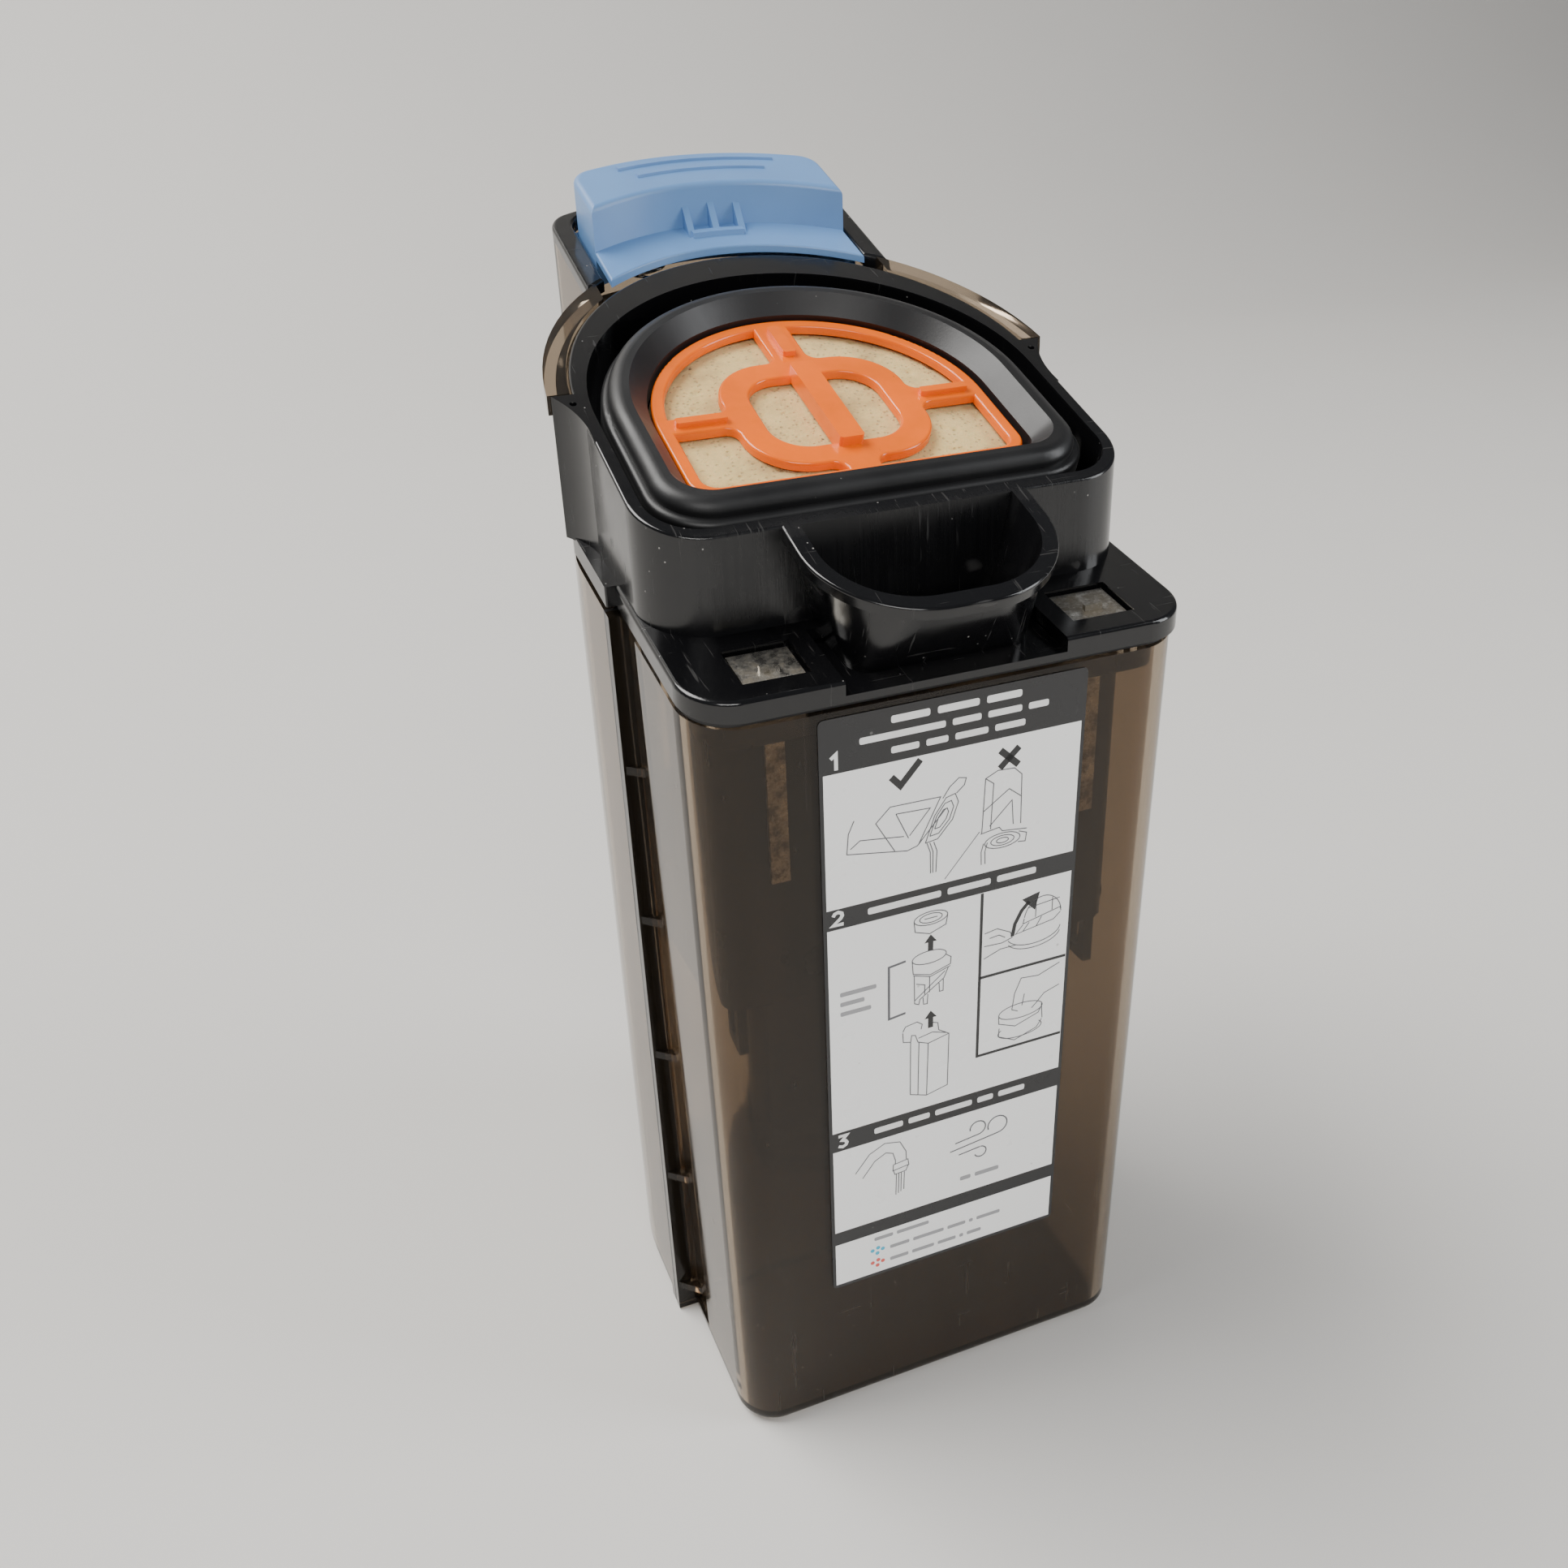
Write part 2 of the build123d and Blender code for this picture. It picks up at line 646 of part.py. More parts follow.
# --- filter: seat seal, frame, mesh, foam and rolled gasket ---
well_seat = rim_plane.offset(-moat_deep + 0.02)
with BuildPart() as seat_seal:
    with BuildSketch(well_seat):
        add(d_outline(36.2, 7.4, 69.4, 8.4))
        add(d_outline(34.0, 9.6, 67.2, 6.2), mode=Mode.SUBTRACT)
    extrude(amount=0.9)
save(seat_seal, "seat_seal")

with BuildPart() as filter_frame:
    with BuildSketch(rim_plane.offset(-8.0)):
        add(d_outline(filter_half - 0.4, filter_front + 0.2, filter_back - 0.2, filter_corner - 0.3))
    extrude(amount=1.8)
    with BuildSketch(rim_plane.offset(-8.0)):
        add(d_outline(32.4, 11.2, 65.8, 4.8))
    extrude(amount=-13.6)
    with BuildSketch(rim_plane.offset(-6.2)):
        add(d_outline(31.0, 12.6, 64.4, 3.4))
    extrude(amount=-14.2, mode=Mode.SUBTRACT)
    with BuildSketch(rim_plane.offset(-20)):
        add(d_outline(28.6, 15.0, 62.0, 2.0))
    extrude(amount=-4, mode=Mode.SUBTRACT)
save(filter_frame, "filter_frame")

with BuildPart() as filter_mesh:
    with BuildSketch(rim_plane.offset(-20.38)):
        add(d_outline(30.7, 12.9, 64.1, 3.1))
        with Locations((0, 38.5)):
            with GridLocations(6.4, 6.4, 8, 7):
                RectangleRounded(5.0, 5.0, 0.8, mode=Mode.SUBTRACT)
    extrude(amount=0.8)
save(filter_mesh, "filter_mesh")

with BuildPart() as foam_filter:
    with BuildSketch(rim_plane.offset(-19.5)):
        add(d_outline(30.2, 13.4, 63.6, 3.0))
    extrude(amount=14.2)
save(foam_filter, "foam_filter")

hinge_v = 14.6
hinge_w = -3.6
hinge = rim_plane.from_local_coords((0, hinge_v, hinge_w))
gasket_hole = d_outline(filter_half - roll_wide, filter_front + roll_wide, filter_back - roll_wide, 3.5)
lip_out = 1.2
gasket_foot = rim_plane.offset(-6.18)
with BuildPart() as gasket_lip:
    with BuildSketch(gasket_foot):
        add(d_outline(filter_half + lip_out, filter_front - 1.5, filter_back + 0.8, filter_corner + 1.0))
    extrude(amount=4.6)
    fillet(gasket_lip.faces().sort_by(rim_axis)[-1].edges(), 1.1)
with BuildPart() as gasket_roll:
    with BuildSketch(gasket_foot):
        add(d_outline(filter_half, filter_front, filter_back, filter_corner))
    extrude(amount=7.2)
    fillet(gasket_roll.faces().sort_by(rim_axis)[-1].edges(), 2.4)
with BuildPart() as gasket_window:
    with BuildSketch(gasket_foot.offset(-1)):
        add(gasket_hole)
    extrude(amount=10)
    with BuildSketch(rim_plane.offset(1.02)):
        add(offset(gasket_hole, 3.0))
    with BuildSketch(rim_plane.offset(-2.2)):
        add(gasket_hole)
    loft()
with BuildPart() as filter_gasket:
    add(gasket_roll)
    add(gasket_lip)
    add(gasket_window, mode=Mode.SUBTRACT)
    with BuildSketch(Plane.YZ.offset(-32.4)):
        with Locations((hinge.Y, hinge.Z)):
            Circle(0.95)
    extrude(amount=64.8, mode=Mode.SUBTRACT)
save(filter_gasket, "filter_gasket")

# --- grille: orange frame that swings up to free the foam ---
grille_plane = rim_plane.offset(-4.4)
grille_half = 29.9
grille_front = 13.4
grille_back = 62.9
grille_band = 2.3
ring_v = 33.6
ring_wide = 34.0
ring_long = 31.0
spoke_wide = 4.6
spoke_front = 6.0
spoke_back = 6.5


def near_joins(corners, joins):
    """The corners that lie at any of the joins."""
    return [c for c in corners if min(math.hypot(c.X - x, c.Y - y) for x, y in joins) < 0.3]


def grille_outline():
    """Outer frame, middle ring and four spokes that flare where they join."""
    side = ring_wide / 2
    end = ring_long / 2
    opening_half = grille_half - grille_band
    opening_front = grille_front + grille_band
    spoke_edges = (ring_v - spoke_wide / 2, ring_v + spoke_wide / 2)
    ring_joins = [(x, y) for x in (-side, side) for y in spoke_edges]
    ring_joins += [(x * spoke_front / 2, ring_v - end) for x in (-1, 1)]
    ring_joins += [(x * spoke_back / 2, ring_v + end) for x in (-1, 1)]
    with BuildSketch() as outline:
        add(d_outline(grille_half, grille_front, grille_back, 5.0))
        add(d_outline(opening_half, opening_front, grille_back - grille_band, 2.7), mode=Mode.SUBTRACT)
        with Locations((0, ring_v)):
            RectangleRounded(ring_wide, ring_long, 10.5)
        with Locations((0, ring_v - 17)):
            Rectangle(spoke_front, 5.0)
        with Locations((0, ring_v + 20)):
            Rectangle(spoke_back, 14.0)
        with Locations((-22.6, ring_v), (22.6, ring_v)):
            Rectangle(13.0, spoke_wide)
        fillet(near_joins(outline.vertices(), ring_joins), 2.2)
        with Locations((0, ring_v)):
            RectangleRounded(24.0, 21.0, 6.5, mode=Mode.SUBTRACT)
    return outline.sketch


with BuildPart() as filter_grille:
    with BuildSketch(grille_plane):
        add(grille_outline())
    extrude(amount=1.6)
    fillet(filter_grille.faces().sort_by(rim_axis)[-1].edges(), 0.5)
    with BuildSketch(grille_plane.offset(0.3)):
        with Locations((0, ring_v)):
            RectangleRounded(4.4, 24.0, 0.6)
    extrude(amount=3.1)
    with BuildSketch(grille_plane.offset(0.5)):
        with Locations((0, ring_v + 21.3)):
            RectangleRounded(2.4, 9.0, 0.5)
        with Locations((-22.4, ring_v), (22.4, ring_v)):
            RectangleRounded(9.0, 1.6, 0.4)
    extrude(amount=2.1)
    for side in (-1, 1):
        with BuildSketch(Plane.YZ.offset(side * 29.6 - 2.4)):
            with Locations((hinge.Y, hinge.Z)):
                Circle(0.6)
        extrude(amount=4.8)
save(filter_grille, "filter_grille")
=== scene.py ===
"""Finishes, foam, label print and studio for the removable dirty-water tank of a floor washer."""

import math

import bmesh
import bpy
from mathutils import Matrix, Vector, noise


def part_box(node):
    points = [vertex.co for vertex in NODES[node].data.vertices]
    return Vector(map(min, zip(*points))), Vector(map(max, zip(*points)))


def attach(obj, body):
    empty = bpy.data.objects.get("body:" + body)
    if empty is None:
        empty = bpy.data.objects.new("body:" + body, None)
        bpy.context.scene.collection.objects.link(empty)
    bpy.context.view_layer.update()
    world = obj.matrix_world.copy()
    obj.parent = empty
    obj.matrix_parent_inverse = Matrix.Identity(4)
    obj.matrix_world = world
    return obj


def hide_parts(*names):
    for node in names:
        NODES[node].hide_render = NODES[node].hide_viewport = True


bl_info = {
    "name": "Dirty Water Tank",
    "version": (1, 0, 0),
    "blender": (4, 5, 0),
    "location": "3D Viewport > Sidebar > Tank",
    "description": "Dresses the packed tank assembly with its finishes, foam and label print",
    "category": "Object",
}

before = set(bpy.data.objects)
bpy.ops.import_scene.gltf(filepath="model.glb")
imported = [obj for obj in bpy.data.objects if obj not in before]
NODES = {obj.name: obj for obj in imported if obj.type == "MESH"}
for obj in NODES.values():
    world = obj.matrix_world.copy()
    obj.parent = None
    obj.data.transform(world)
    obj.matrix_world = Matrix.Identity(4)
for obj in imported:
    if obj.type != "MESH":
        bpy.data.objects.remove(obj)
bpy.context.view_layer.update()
MM = 0.001


# --- sizes and colours ---
class TankFinish(bpy.types.PropertyGroup):
    """Colours of the moulded pieces."""

    smoke: bpy.props.FloatVectorProperty(
        name="Smoke tint", description="Tint of the see-through shells",
        subtype="COLOR", size=3, min=0.0, max=1.0, default=(0.345, 0.270, 0.195))
    black: bpy.props.FloatVectorProperty(
        name="Black", description="Glossy black of the lid",
        subtype="COLOR", size=3, min=0.0, max=1.0, default=(0.0035, 0.0035, 0.004))
    dark: bpy.props.FloatVectorProperty(
        name="Inner black", description="Duller black of the pieces inside the tank",
        subtype="COLOR", size=3, min=0.0, max=1.0, default=(0.006, 0.006, 0.006))
    rubber: bpy.props.FloatVectorProperty(
        name="Rubber", description="Black of the seals and the rolled gasket",
        subtype="COLOR", size=3, min=0.0, max=1.0, default=(0.006, 0.006, 0.0065))
    blue: bpy.props.FloatVectorProperty(
        name="Latch blue", description="Satin blue of the latch button",
        subtype="COLOR", size=3, min=0.0, max=1.0, default=(0.130, 0.265, 0.515))
    orange: bpy.props.FloatVectorProperty(
        name="Grille orange", description="Glossy orange of the grille",
        subtype="COLOR", size=3, min=0.0, max=1.0, default=(1.0, 0.165, 0.0))
    steel: bpy.props.FloatVectorProperty(
        name="Contact steel", description="Clean metal of the two contacts",
        subtype="COLOR", size=3, min=0.0, max=1.0, default=(0.74, 0.71, 0.65))
    tarnish: bpy.props.FloatVectorProperty(
        name="Tarnish", description="Stained metal of the two contacts",
        subtype="COLOR", size=3, min=0.0, max=1.0, default=(0.30, 0.27, 0.22))


class FoamShape(bpy.types.PropertyGroup):
    """Shape and colour of the foam filter."""

    colour: bpy.props.FloatVectorProperty(
        name="Foam", description="Cream of the foam",
        subtype="COLOR", size=3, min=0.0, max=1.0, default=(0.74, 0.55, 0.23))
    # this brown, halved, also paints the shade in the foam's pores
    stain: bpy.props.FloatVectorProperty(
        name="Stain", description="Brown of the dried stains",
        subtype="COLOR", size=3, min=0.0, max=1.0, default=(0.36, 0.235, 0.10))
    rings: bpy.props.IntProperty(
        name="Rings", description="Rings of faces across the top of the foam", min=8, default=72)
    around: bpy.props.IntProperty(
        name="Points around", description="Points round the edge of the foam", min=24, default=300)
    pore: bpy.props.FloatProperty(
        name="Pore pitch", description="Distance between open pores",
        subtype="DISTANCE", unit="LENGTH", min=0.0005, default=2.6 * MM)
    pore_depth: bpy.props.FloatProperty(
        name="Pore depth", description="Depth of the open pores",
        subtype="DISTANCE", unit="LENGTH", min=0.0, default=0.42 * MM)
    crown: bpy.props.FloatProperty(
        name="Crown", description="Height that the foam swells between the bars",
        subtype="DISTANCE", unit="LENGTH", min=0.0, default=0.55 * MM)


class LabelPrint(bpy.types.PropertyGroup):
    """Layout of the printed label."""

    ink: bpy.props.FloatProperty(
        name="Ink height", description="Height of one layer of print",
        subtype="DISTANCE", unit="LENGTH", min=0.00001, default=0.03 * MM)
    border: bpy.props.FloatProperty(
        name="Border", description="Black border left round the white panels",
        subtype="DISTANCE", unit="LENGTH", min=0.0, default=0.65 * MM)
    fine: bpy.props.FloatProperty(
        name="Fine line", description="Width of the thin drawing lines",
        subtype="DISTANCE", unit="LENGTH", min=0.00005, default=0.17 * MM)
    bold: bpy.props.FloatProperty(
        name="Bold line", description="Width of the frames and brackets",
        subtype="DISTANCE", unit="LENGTH", min=0.00005, default=0.42 * MM)


class StudioSetup(bpy.types.PropertyGroup):
    """Camera, floor and lights."""

    spot: bpy.props.FloatVectorProperty(
        name="Camera place", description="Where the camera stands",
        subtype="TRANSLATION", unit="LENGTH", size=3, default=(-94.26 * MM, -227.44 * MM, 238.78 * MM))
    turn: bpy.props.FloatProperty(
        name="Turn", description="How far the camera looks to the right of straight back",
        subtype="ANGLE", unit="ROTATION", default=math.radians(20.185))
    dip: bpy.props.FloatProperty(
        name="Dip", description="How far the camera looks down",
        subtype="ANGLE", unit="ROTATION", default=math.radians(27.52))
    roll: bpy.props.FloatProperty(
        name="Roll", description="How far the camera leans over",
        subtype="ANGLE", unit="ROTATION", default=math.radians(-2.631))
    lens: bpy.props.FloatProperty(
        name="Lens", description="Focal length in millimetres on a 36 mm sensor", min=1.0, default=32.71)
    floor: bpy.props.FloatVectorProperty(
        name="Floor", description="Pale colour of the floor and backdrop",
        subtype="COLOR", size=3, min=0.0, max=1.0, default=(0.66, 0.645, 0.62))
    key: bpy.props.FloatProperty(
        name="Key light", description="Power of the large soft light in watts", min=0.0, default=76.0)
    side: bpy.props.FloatProperty(
        name="Side light", description="Power of the tall side light in watts", min=0.0, default=8.0)
    sky: bpy.props.FloatProperty(
        name="Room light", description="Strength of the even light from all round", min=0.0, default=0.16)


# --- node materials ---
class Finish:
    """One node material, built up around one shader."""

    def __init__(self, name, **sockets):
        self.material = bpy.data.materials.new(name)
        self.material.use_nodes = True
        self.tree = self.material.node_tree
        self.shader = self.tree.nodes["Principled BSDF"]
        for socket, value in sockets.items():
            self.shader.inputs[socket.replace("_", " ")].default_value = value
        self.place = self.tree.nodes.new("ShaderNodeTexCoord").outputs["Object"]

    def set(self, socket, source):
        """Feeds a socket of the shader."""
        self.tree.links.new(source, self.shader.inputs[socket])

    def stretched(self, scale, turn=(0.0, 0.0, 0.0)):
        """Object coordinates, scaled and turned."""
        mapping = self.tree.nodes.new("ShaderNodeMapping")
        mapping.inputs["Scale"].default_value = scale
        mapping.inputs["Rotation"].default_value = turn
        self.tree.links.new(self.place, mapping.inputs["Vector"])
        return mapping.outputs["Vector"]

    def cloud(self, scale, detail=3.0, rough=0.55, place=None):
        """A noise pattern from 0 to 1."""
        node = self.tree.nodes.new("ShaderNodeTexNoise")
        node.inputs["Scale"].default_value = scale
        node.inputs["Detail"].default_value = detail
        node.inputs["Roughness"].default_value = rough
        self.tree.links.new(place or self.place, node.inputs["Vector"])
        return node.outputs["Fac"]

    def cells(self, scale, place=None):
        """Distance to the nearest of many scattered points."""
        node = self.tree.nodes.new("ShaderNodeTexVoronoi")
        node.inputs["Scale"].default_value = scale
        self.tree.links.new(place or self.place, node.inputs["Vector"])
        return node.outputs["Distance"]

    def span(self, value, low, high, start=0.0, end=1.0):
        """Turns the range low to high into start to end, smoothly."""
        node = self.tree.nodes.new("ShaderNodeMapRange")
        node.interpolation_type = "SMOOTHSTEP"
        for socket, number in (("From Min", low), ("From Max", high), ("To Min", start), ("To Max", end)):
            node.inputs[socket].default_value = number
        self.tree.links.new(value, node.inputs["Value"])
        return node.outputs["Result"]

    def sum(self, how, first, second):
        """Arithmetic on two patterns, or on a pattern and a number."""
        node = self.tree.nodes.new("ShaderNodeMath")
        node.operation = how
        for socket, term in zip(node.inputs, (first, second)):
            if isinstance(term, (int, float)):
                socket.default_value = term
            else:
                self.tree.links.new(term, socket)
        return node.outputs["Value"]

    def tint(self, amount, first, second):
        """Mixes two colours by a pattern."""
        node = self.tree.nodes.new("ShaderNodeMix")
        node.data_type = "RGBA"
        self.tree.links.new(amount, node.inputs["Factor"])
        colour_inputs = [socket for socket in node.inputs if socket.type == "RGBA"]
        for socket, colour in zip(colour_inputs, (first, second)):
            if isinstance(colour, tuple):
                socket.default_value = (*colour, 1.0)
            else:
                self.tree.links.new(colour, socket)
        return next(socket for socket in node.outputs if socket.type == "RGBA")

    def axis(self, letter):
        """One coordinate of the piece, in metres."""
        node = self.tree.nodes.new("ShaderNodeSeparateXYZ")
        self.tree.links.new(self.place, node.inputs["Vector"])
        return node.outputs[letter]

    def spot(self, centre, radius, soft=0.5):
        """1 near a point, 0 away from it."""
        node = self.tree.nodes.new("ShaderNodeVectorMath")
        node.operation = "DISTANCE"
        node.inputs[1].default_value = centre
        self.tree.links.new(self.place, node.inputs[0])
        return self.span(node.outputs["Value"], radius * soft, radius, 1.0, 0.0)

    def relief(self, height, strength, depth, under=None):
        """Feeds fine relief to the shader's normal."""
        node = self.tree.nodes.new("ShaderNodeBump")
        node.inputs["Strength"].default_value = strength
        node.inputs["Distance"].default_value = depth
        self.tree.links.new(height, node.inputs["Height"])
        if under is not None:
            self.tree.links.new(under, node.inputs["Normal"])
        self.set("Normal", node.outputs["Normal"])
        return node.outputs["Normal"]

    def streaks(self, scale, turn, low, high):
        """Thin lines along one direction, 1 on a line."""
        pattern = self.cloud(1.0, 2.0, 0.6, self.stretched(scale, turn))
        return self.span(pattern, low, high)

    def specks(self, scale, core, rim, where, low, high):
        """Small dots, 1 inside, kept only where another pattern is high."""
        dots = self.span(self.cells(scale), core, rim, 1.0, 0.0)
        return self.sum("MULTIPLY", dots, self.span(where, low, high))


def scaled(colour, factor):
    """A lighter or darker version of a colour."""
    return tuple(min(1.0, factor * channel) for channel in colour)


# places on the tank, in metres
SCRATCHED_CORNER = (-0.036, -0.046, 0.140)
WORN_FOOT = (0.010, 0.070)
COLLAR_FRONT = (-0.0365, -0.0345, -0.0335, -0.0300)
COLLAR_FOOT = (0.1585, 0.1610)
LATCH_STAIN = (0.0178, 0.0510, 0.2010)


def smoke_plastic(tint):
    """Smoked see-through plastic with haze and scratches."""
    f = Finish("smoke_plastic", Transmission_Weight=0.97, IOR=1.33, Specular_IOR_Level=0.35)
    broad = f.cloud(45.0, 4.0, 0.6)
    up_down = f.streaks((900.0, 900.0, 35.0), (0.06, 0.1, 0.0), 0.66, 0.74)
    across = f.streaks((60.0, 60.0, 1400.0), (0.5, 0.25, 0.3), 0.70, 0.76)
    nicks = f.span(f.cells(260.0, f.stretched((1.0, 1.0, 0.35))), 0.035, 0.075, 1.0, 0.0)
    low_face = f.span(f.axis("Z"), *WORN_FOOT, 1.0, 0.25)
    corner = f.spot(SCRATCHED_CORNER, 0.030, 0.2)
    marks = f.sum("MAXIMUM", up_down, across)
    marks = f.sum("MULTIPLY", marks, f.sum("MAXIMUM", low_face, corner))
    nicks = f.sum("MULTIPLY", nicks, f.sum("MAXIMUM", corner, f.span(broad, 0.58, 0.70)))
    marks = f.sum("MAXIMUM", f.sum("MULTIPLY", marks, 0.6), nicks)
    f.set("Base Color", f.tint(f.sum("MULTIPLY", marks, 0.35), tint, (0.62, 0.58, 0.52)))
    f.set("Roughness", f.sum("ADD", f.span(broad, 0.3, 0.7, 0.035, 0.10), f.sum("MULTIPLY", marks, 0.4)))
    f.relief(marks, 0.12, 0.00005)
    return f.material


def black_plastic(black):
    """Glossy black moulding with dust, scuffs and a brushed collar front."""
    f = Finish("black_plastic", IOR=1.52, Specular_IOR_Level=0.55)
    broad = f.cloud(38.0, 5.0, 0.62)
    swirl = f.streaks((1300.0, 90.0, 90.0), (0.2, 0.4, 0.5), 0.64, 0.72)
    cross = f.streaks((90.0, 1500.0, 120.0), (0.1, 0.2, -0.6), 0.68, 0.75)
    dust = f.specks(420.0, 0.03, 0.085, f.cloud(120.0, 2.0), 0.52, 0.62)
    collar = f.sum("MULTIPLY", f.span(f.axis("Y"), *COLLAR_FRONT[2:], 1.0, 0.0),
                   f.span(f.axis("Z"), *COLLAR_FOOT))
    collar = f.sum("MULTIPLY", collar, f.span(f.axis("Y"), *COLLAR_FRONT[:2]))
    brushed = f.cloud(1.0, 3.0, 0.7, f.stretched((1700.0, 400.0, 45.0)))
    brushed = f.sum("MULTIPLY", collar, brushed)
    scuffs = f.sum("MAXIMUM", swirl, cross)
    soiled = f.sum("MAXIMUM", f.sum("MULTIPLY", dust, 0.8), f.sum("MULTIPLY", scuffs, 0.05))
    f.set("Base Color", f.tint(soiled, black, (0.36, 0.35, 0.33)))
    gloss = f.sum("ADD", f.span(broad, 0.35, 0.72, 0.09, 0.24), f.sum("MULTIPLY", scuffs, 0.22))
    gloss = f.sum("ADD", gloss, f.sum("MULTIPLY", brushed, 0.30))
    f.set("Roughness", f.sum("ADD", gloss, f.sum("MULTIPLY", dust, 0.5)))
    lumps = f.relief(f.cloud(95.0, 2.0), 0.05, 0.0004)
    f.relief(f.sum("ADD", brushed, f.sum("MULTIPLY", dust, 0.5)), 0.25, 0.00012, lumps)
    return f.material


def dark_plastic(dark):
    """Plain black moulding with a slight grain."""
    f = Finish("dark_plastic", IOR=1.5)
    broad = f.cloud(60.0, 4.0)
    f.set("Base Color", f.tint(f.span(broad, 0.3, 0.8), dark, scaled(dark, 2.2)))
    f.set("Roughness", f.span(broad, 0.3, 0.7, 0.26, 0.42))
    f.relief(f.cloud(1500.0, 2.0), 0.12, 0.0001)
    return f.material


def black_rubber(rubber):
    """Satin black rubber with dust caught on it."""
    f = Finish("black_rubber", IOR=1.5, Sheen_Weight=0.05, Sheen_Roughness=0.4)
    broad = f.cloud(50.0, 4.0)
    dust = f.specks(500.0, 0.03, 0.08, broad, 0.55, 0.66)
    f.set("Base Color", f.tint(f.sum("MULTIPLY", dust, 0.6), rubber, (0.30, 0.29, 0.27)))
    f.set("Roughness", f.span(broad, 0.3, 0.75, 0.34, 0.50))
    f.relief(f.cloud(2200.0, 3.0, 0.7), 0.16, 0.00008)
    return f.material


def blue_plastic(blue):
    """Satin blue moulding with a small brown stain and dark specks."""
    f = Finish("blue_plastic", IOR=1.5, Subsurface_Weight=0.06, Subsurface_Scale=0.002)
    broad = f.cloud(40.0, 4.0)
    stain = f.spot(LATCH_STAIN, 0.0042, 0.1)
    stain = f.sum("MULTIPLY", stain, f.span(f.cloud(700.0, 4.0, 0.7), 0.36, 0.62))
    specks = f.specks(300.0, 0.03, 0.07, broad, 0.56, 0.66)
    paint = f.tint(f.span(broad, 0.3, 0.75), blue, scaled(blue, 1.12))
    paint = f.tint(f.sum("MULTIPLY", specks, 0.5), paint, (0.11, 0.10, 0.09))
    f.set("Base Color", f.tint(f.sum("MULTIPLY", stain, 0.85), paint, (0.085, 0.055, 0.03)))
    f.set("Roughness", f.sum("ADD", f.span(broad, 0.3, 0.7, 0.27, 0.38), f.sum("MULTIPLY", stain, 0.3)))
    f.relief(f.cloud(1600.0, 2.0), 0.10, 0.00008)
    return f.material


def orange_plastic(orange):
    """Glossy orange moulding."""
    f = Finish("orange_plastic", IOR=1.52, Subsurface_Weight=0.10, Subsurface_Scale=0.0015)
    broad = f.cloud(80.0, 4.0)
    dirt = f.specks(380.0, 0.03, 0.07, broad, 0.55, 0.63)
    paint = f.tint(f.span(broad, 0.3, 0.75), orange, scaled(orange, 0.82))
    f.set("Base Color", f.tint(f.sum("MULTIPLY", dirt, 0.6), paint, (0.16, 0.07, 0.02)))
    f.set("Roughness", f.span(broad, 0.35, 0.7, 0.13, 0.25))
    f.relief(f.cloud(140.0, 2.0), 0.07, 0.0003)
    return f.material


def contact_metal(steel, tarnish):
    """Bare metal with mottled brown tarnish."""
    f = Finish("contact_steel", Metallic=1.0)
    mottle = f.cloud(330.0, 6.0, 0.72)
    fine = f.cloud(1900.0, 3.0, 0.7)
    patches = f.span(f.sum("ADD", mottle, f.sum("MULTIPLY", fine, 0.25)), 0.52, 0.74)
    f.set("Base Color", f.tint(patches, steel, tarnish))
    f.set("Roughness", f.span(mottle, 0.35, 0.7, 0.24, 0.58))
    f.relief(fine, 0.3, 0.00006)
    return f.material


def bright_steel():
    """Drawn wire and turned screws."""
    f = Finish("steel", Metallic=1.0)
    lines = f.cloud(1.0, 2.0, 0.6, f.stretched((300.0, 300.0, 2600.0)))
    f.set("Base Color", f.tint(f.span(lines, 0.3, 0.7), (0.55, 0.55, 0.56), (0.36, 0.36, 0.37)))
    f.set("Roughness", f.span(lines, 0.3, 0.7, 0.18, 0.34))
    return f.material


def foam_cell(cream, stain, pitch):
    """Open-cell foam, stained in clouds, with painted shade in its pores, and specks."""
    f = Finish("foam", IOR=1.3, Specular_IOR_Level=0.15, Sheen_Weight=0.15, Sheen_Roughness=0.6,
               Subsurface_Weight=0.12, Subsurface_Scale=0.003)
    cloudy = f.cloud(55.0, 6.0, 0.68)
    pores = f.span(f.cells(1.0 / (0.38 * pitch)), 0.10, 0.34, 1.0, 0.0)
    tiny = f.cloud(1500.0, 4.0, 0.72)
    specks = f.specks(170.0, 0.035, 0.075, f.cloud(90.0, 2.0), 0.42, 0.56)
    body = f.tint(f.span(cloudy, 0.42, 0.74), cream, stain)
    body = f.tint(f.sum("MULTIPLY", f.span(tiny, 0.35, 0.75), 0.30), body, scaled(cream, 0.62))
    # painted shade: the pore pattern darkens the colour towards half the stain brown, as shade lying in
    # the pits
    body = f.tint(f.sum("MULTIPLY", pores, 0.34), body, scaled(stain, 0.5))
    f.set("Base Color", f.tint(f.sum("MULTIPLY", specks, 0.8), body, (0.05, 0.032, 0.015)))
    f.set("Roughness", f.span(tiny, 0.2, 0.8, 0.78, 0.95))
    grain = f.relief(tiny, 0.55, 0.0003)
    f.relief(f.sum("MULTIPLY", pores, -1.0), 0.5, 0.0004, grain)
    return f.material


def label_ink(name, ink, spots, spotted, gloss):
    """Printed vinyl: one even ink with small marks from use."""
    f = Finish(name, IOR=1.48, Coat_Weight=0.25, Coat_Roughness=0.12)
    broad = f.cloud(90.0, 4.0)
    marks = f.specks(210.0, 0.03, 0.075, broad, 0.52, 0.6)
    f.set("Base Color", f.tint(f.sum("MULTIPLY", marks, spotted), ink, spots))
    f.set("Roughness", f.span(broad, 0.3, 0.7, gloss, gloss + 0.12))
    f.relief(f.cloud(260.0, 2.0), 0.06, 0.0002)
    return f.material


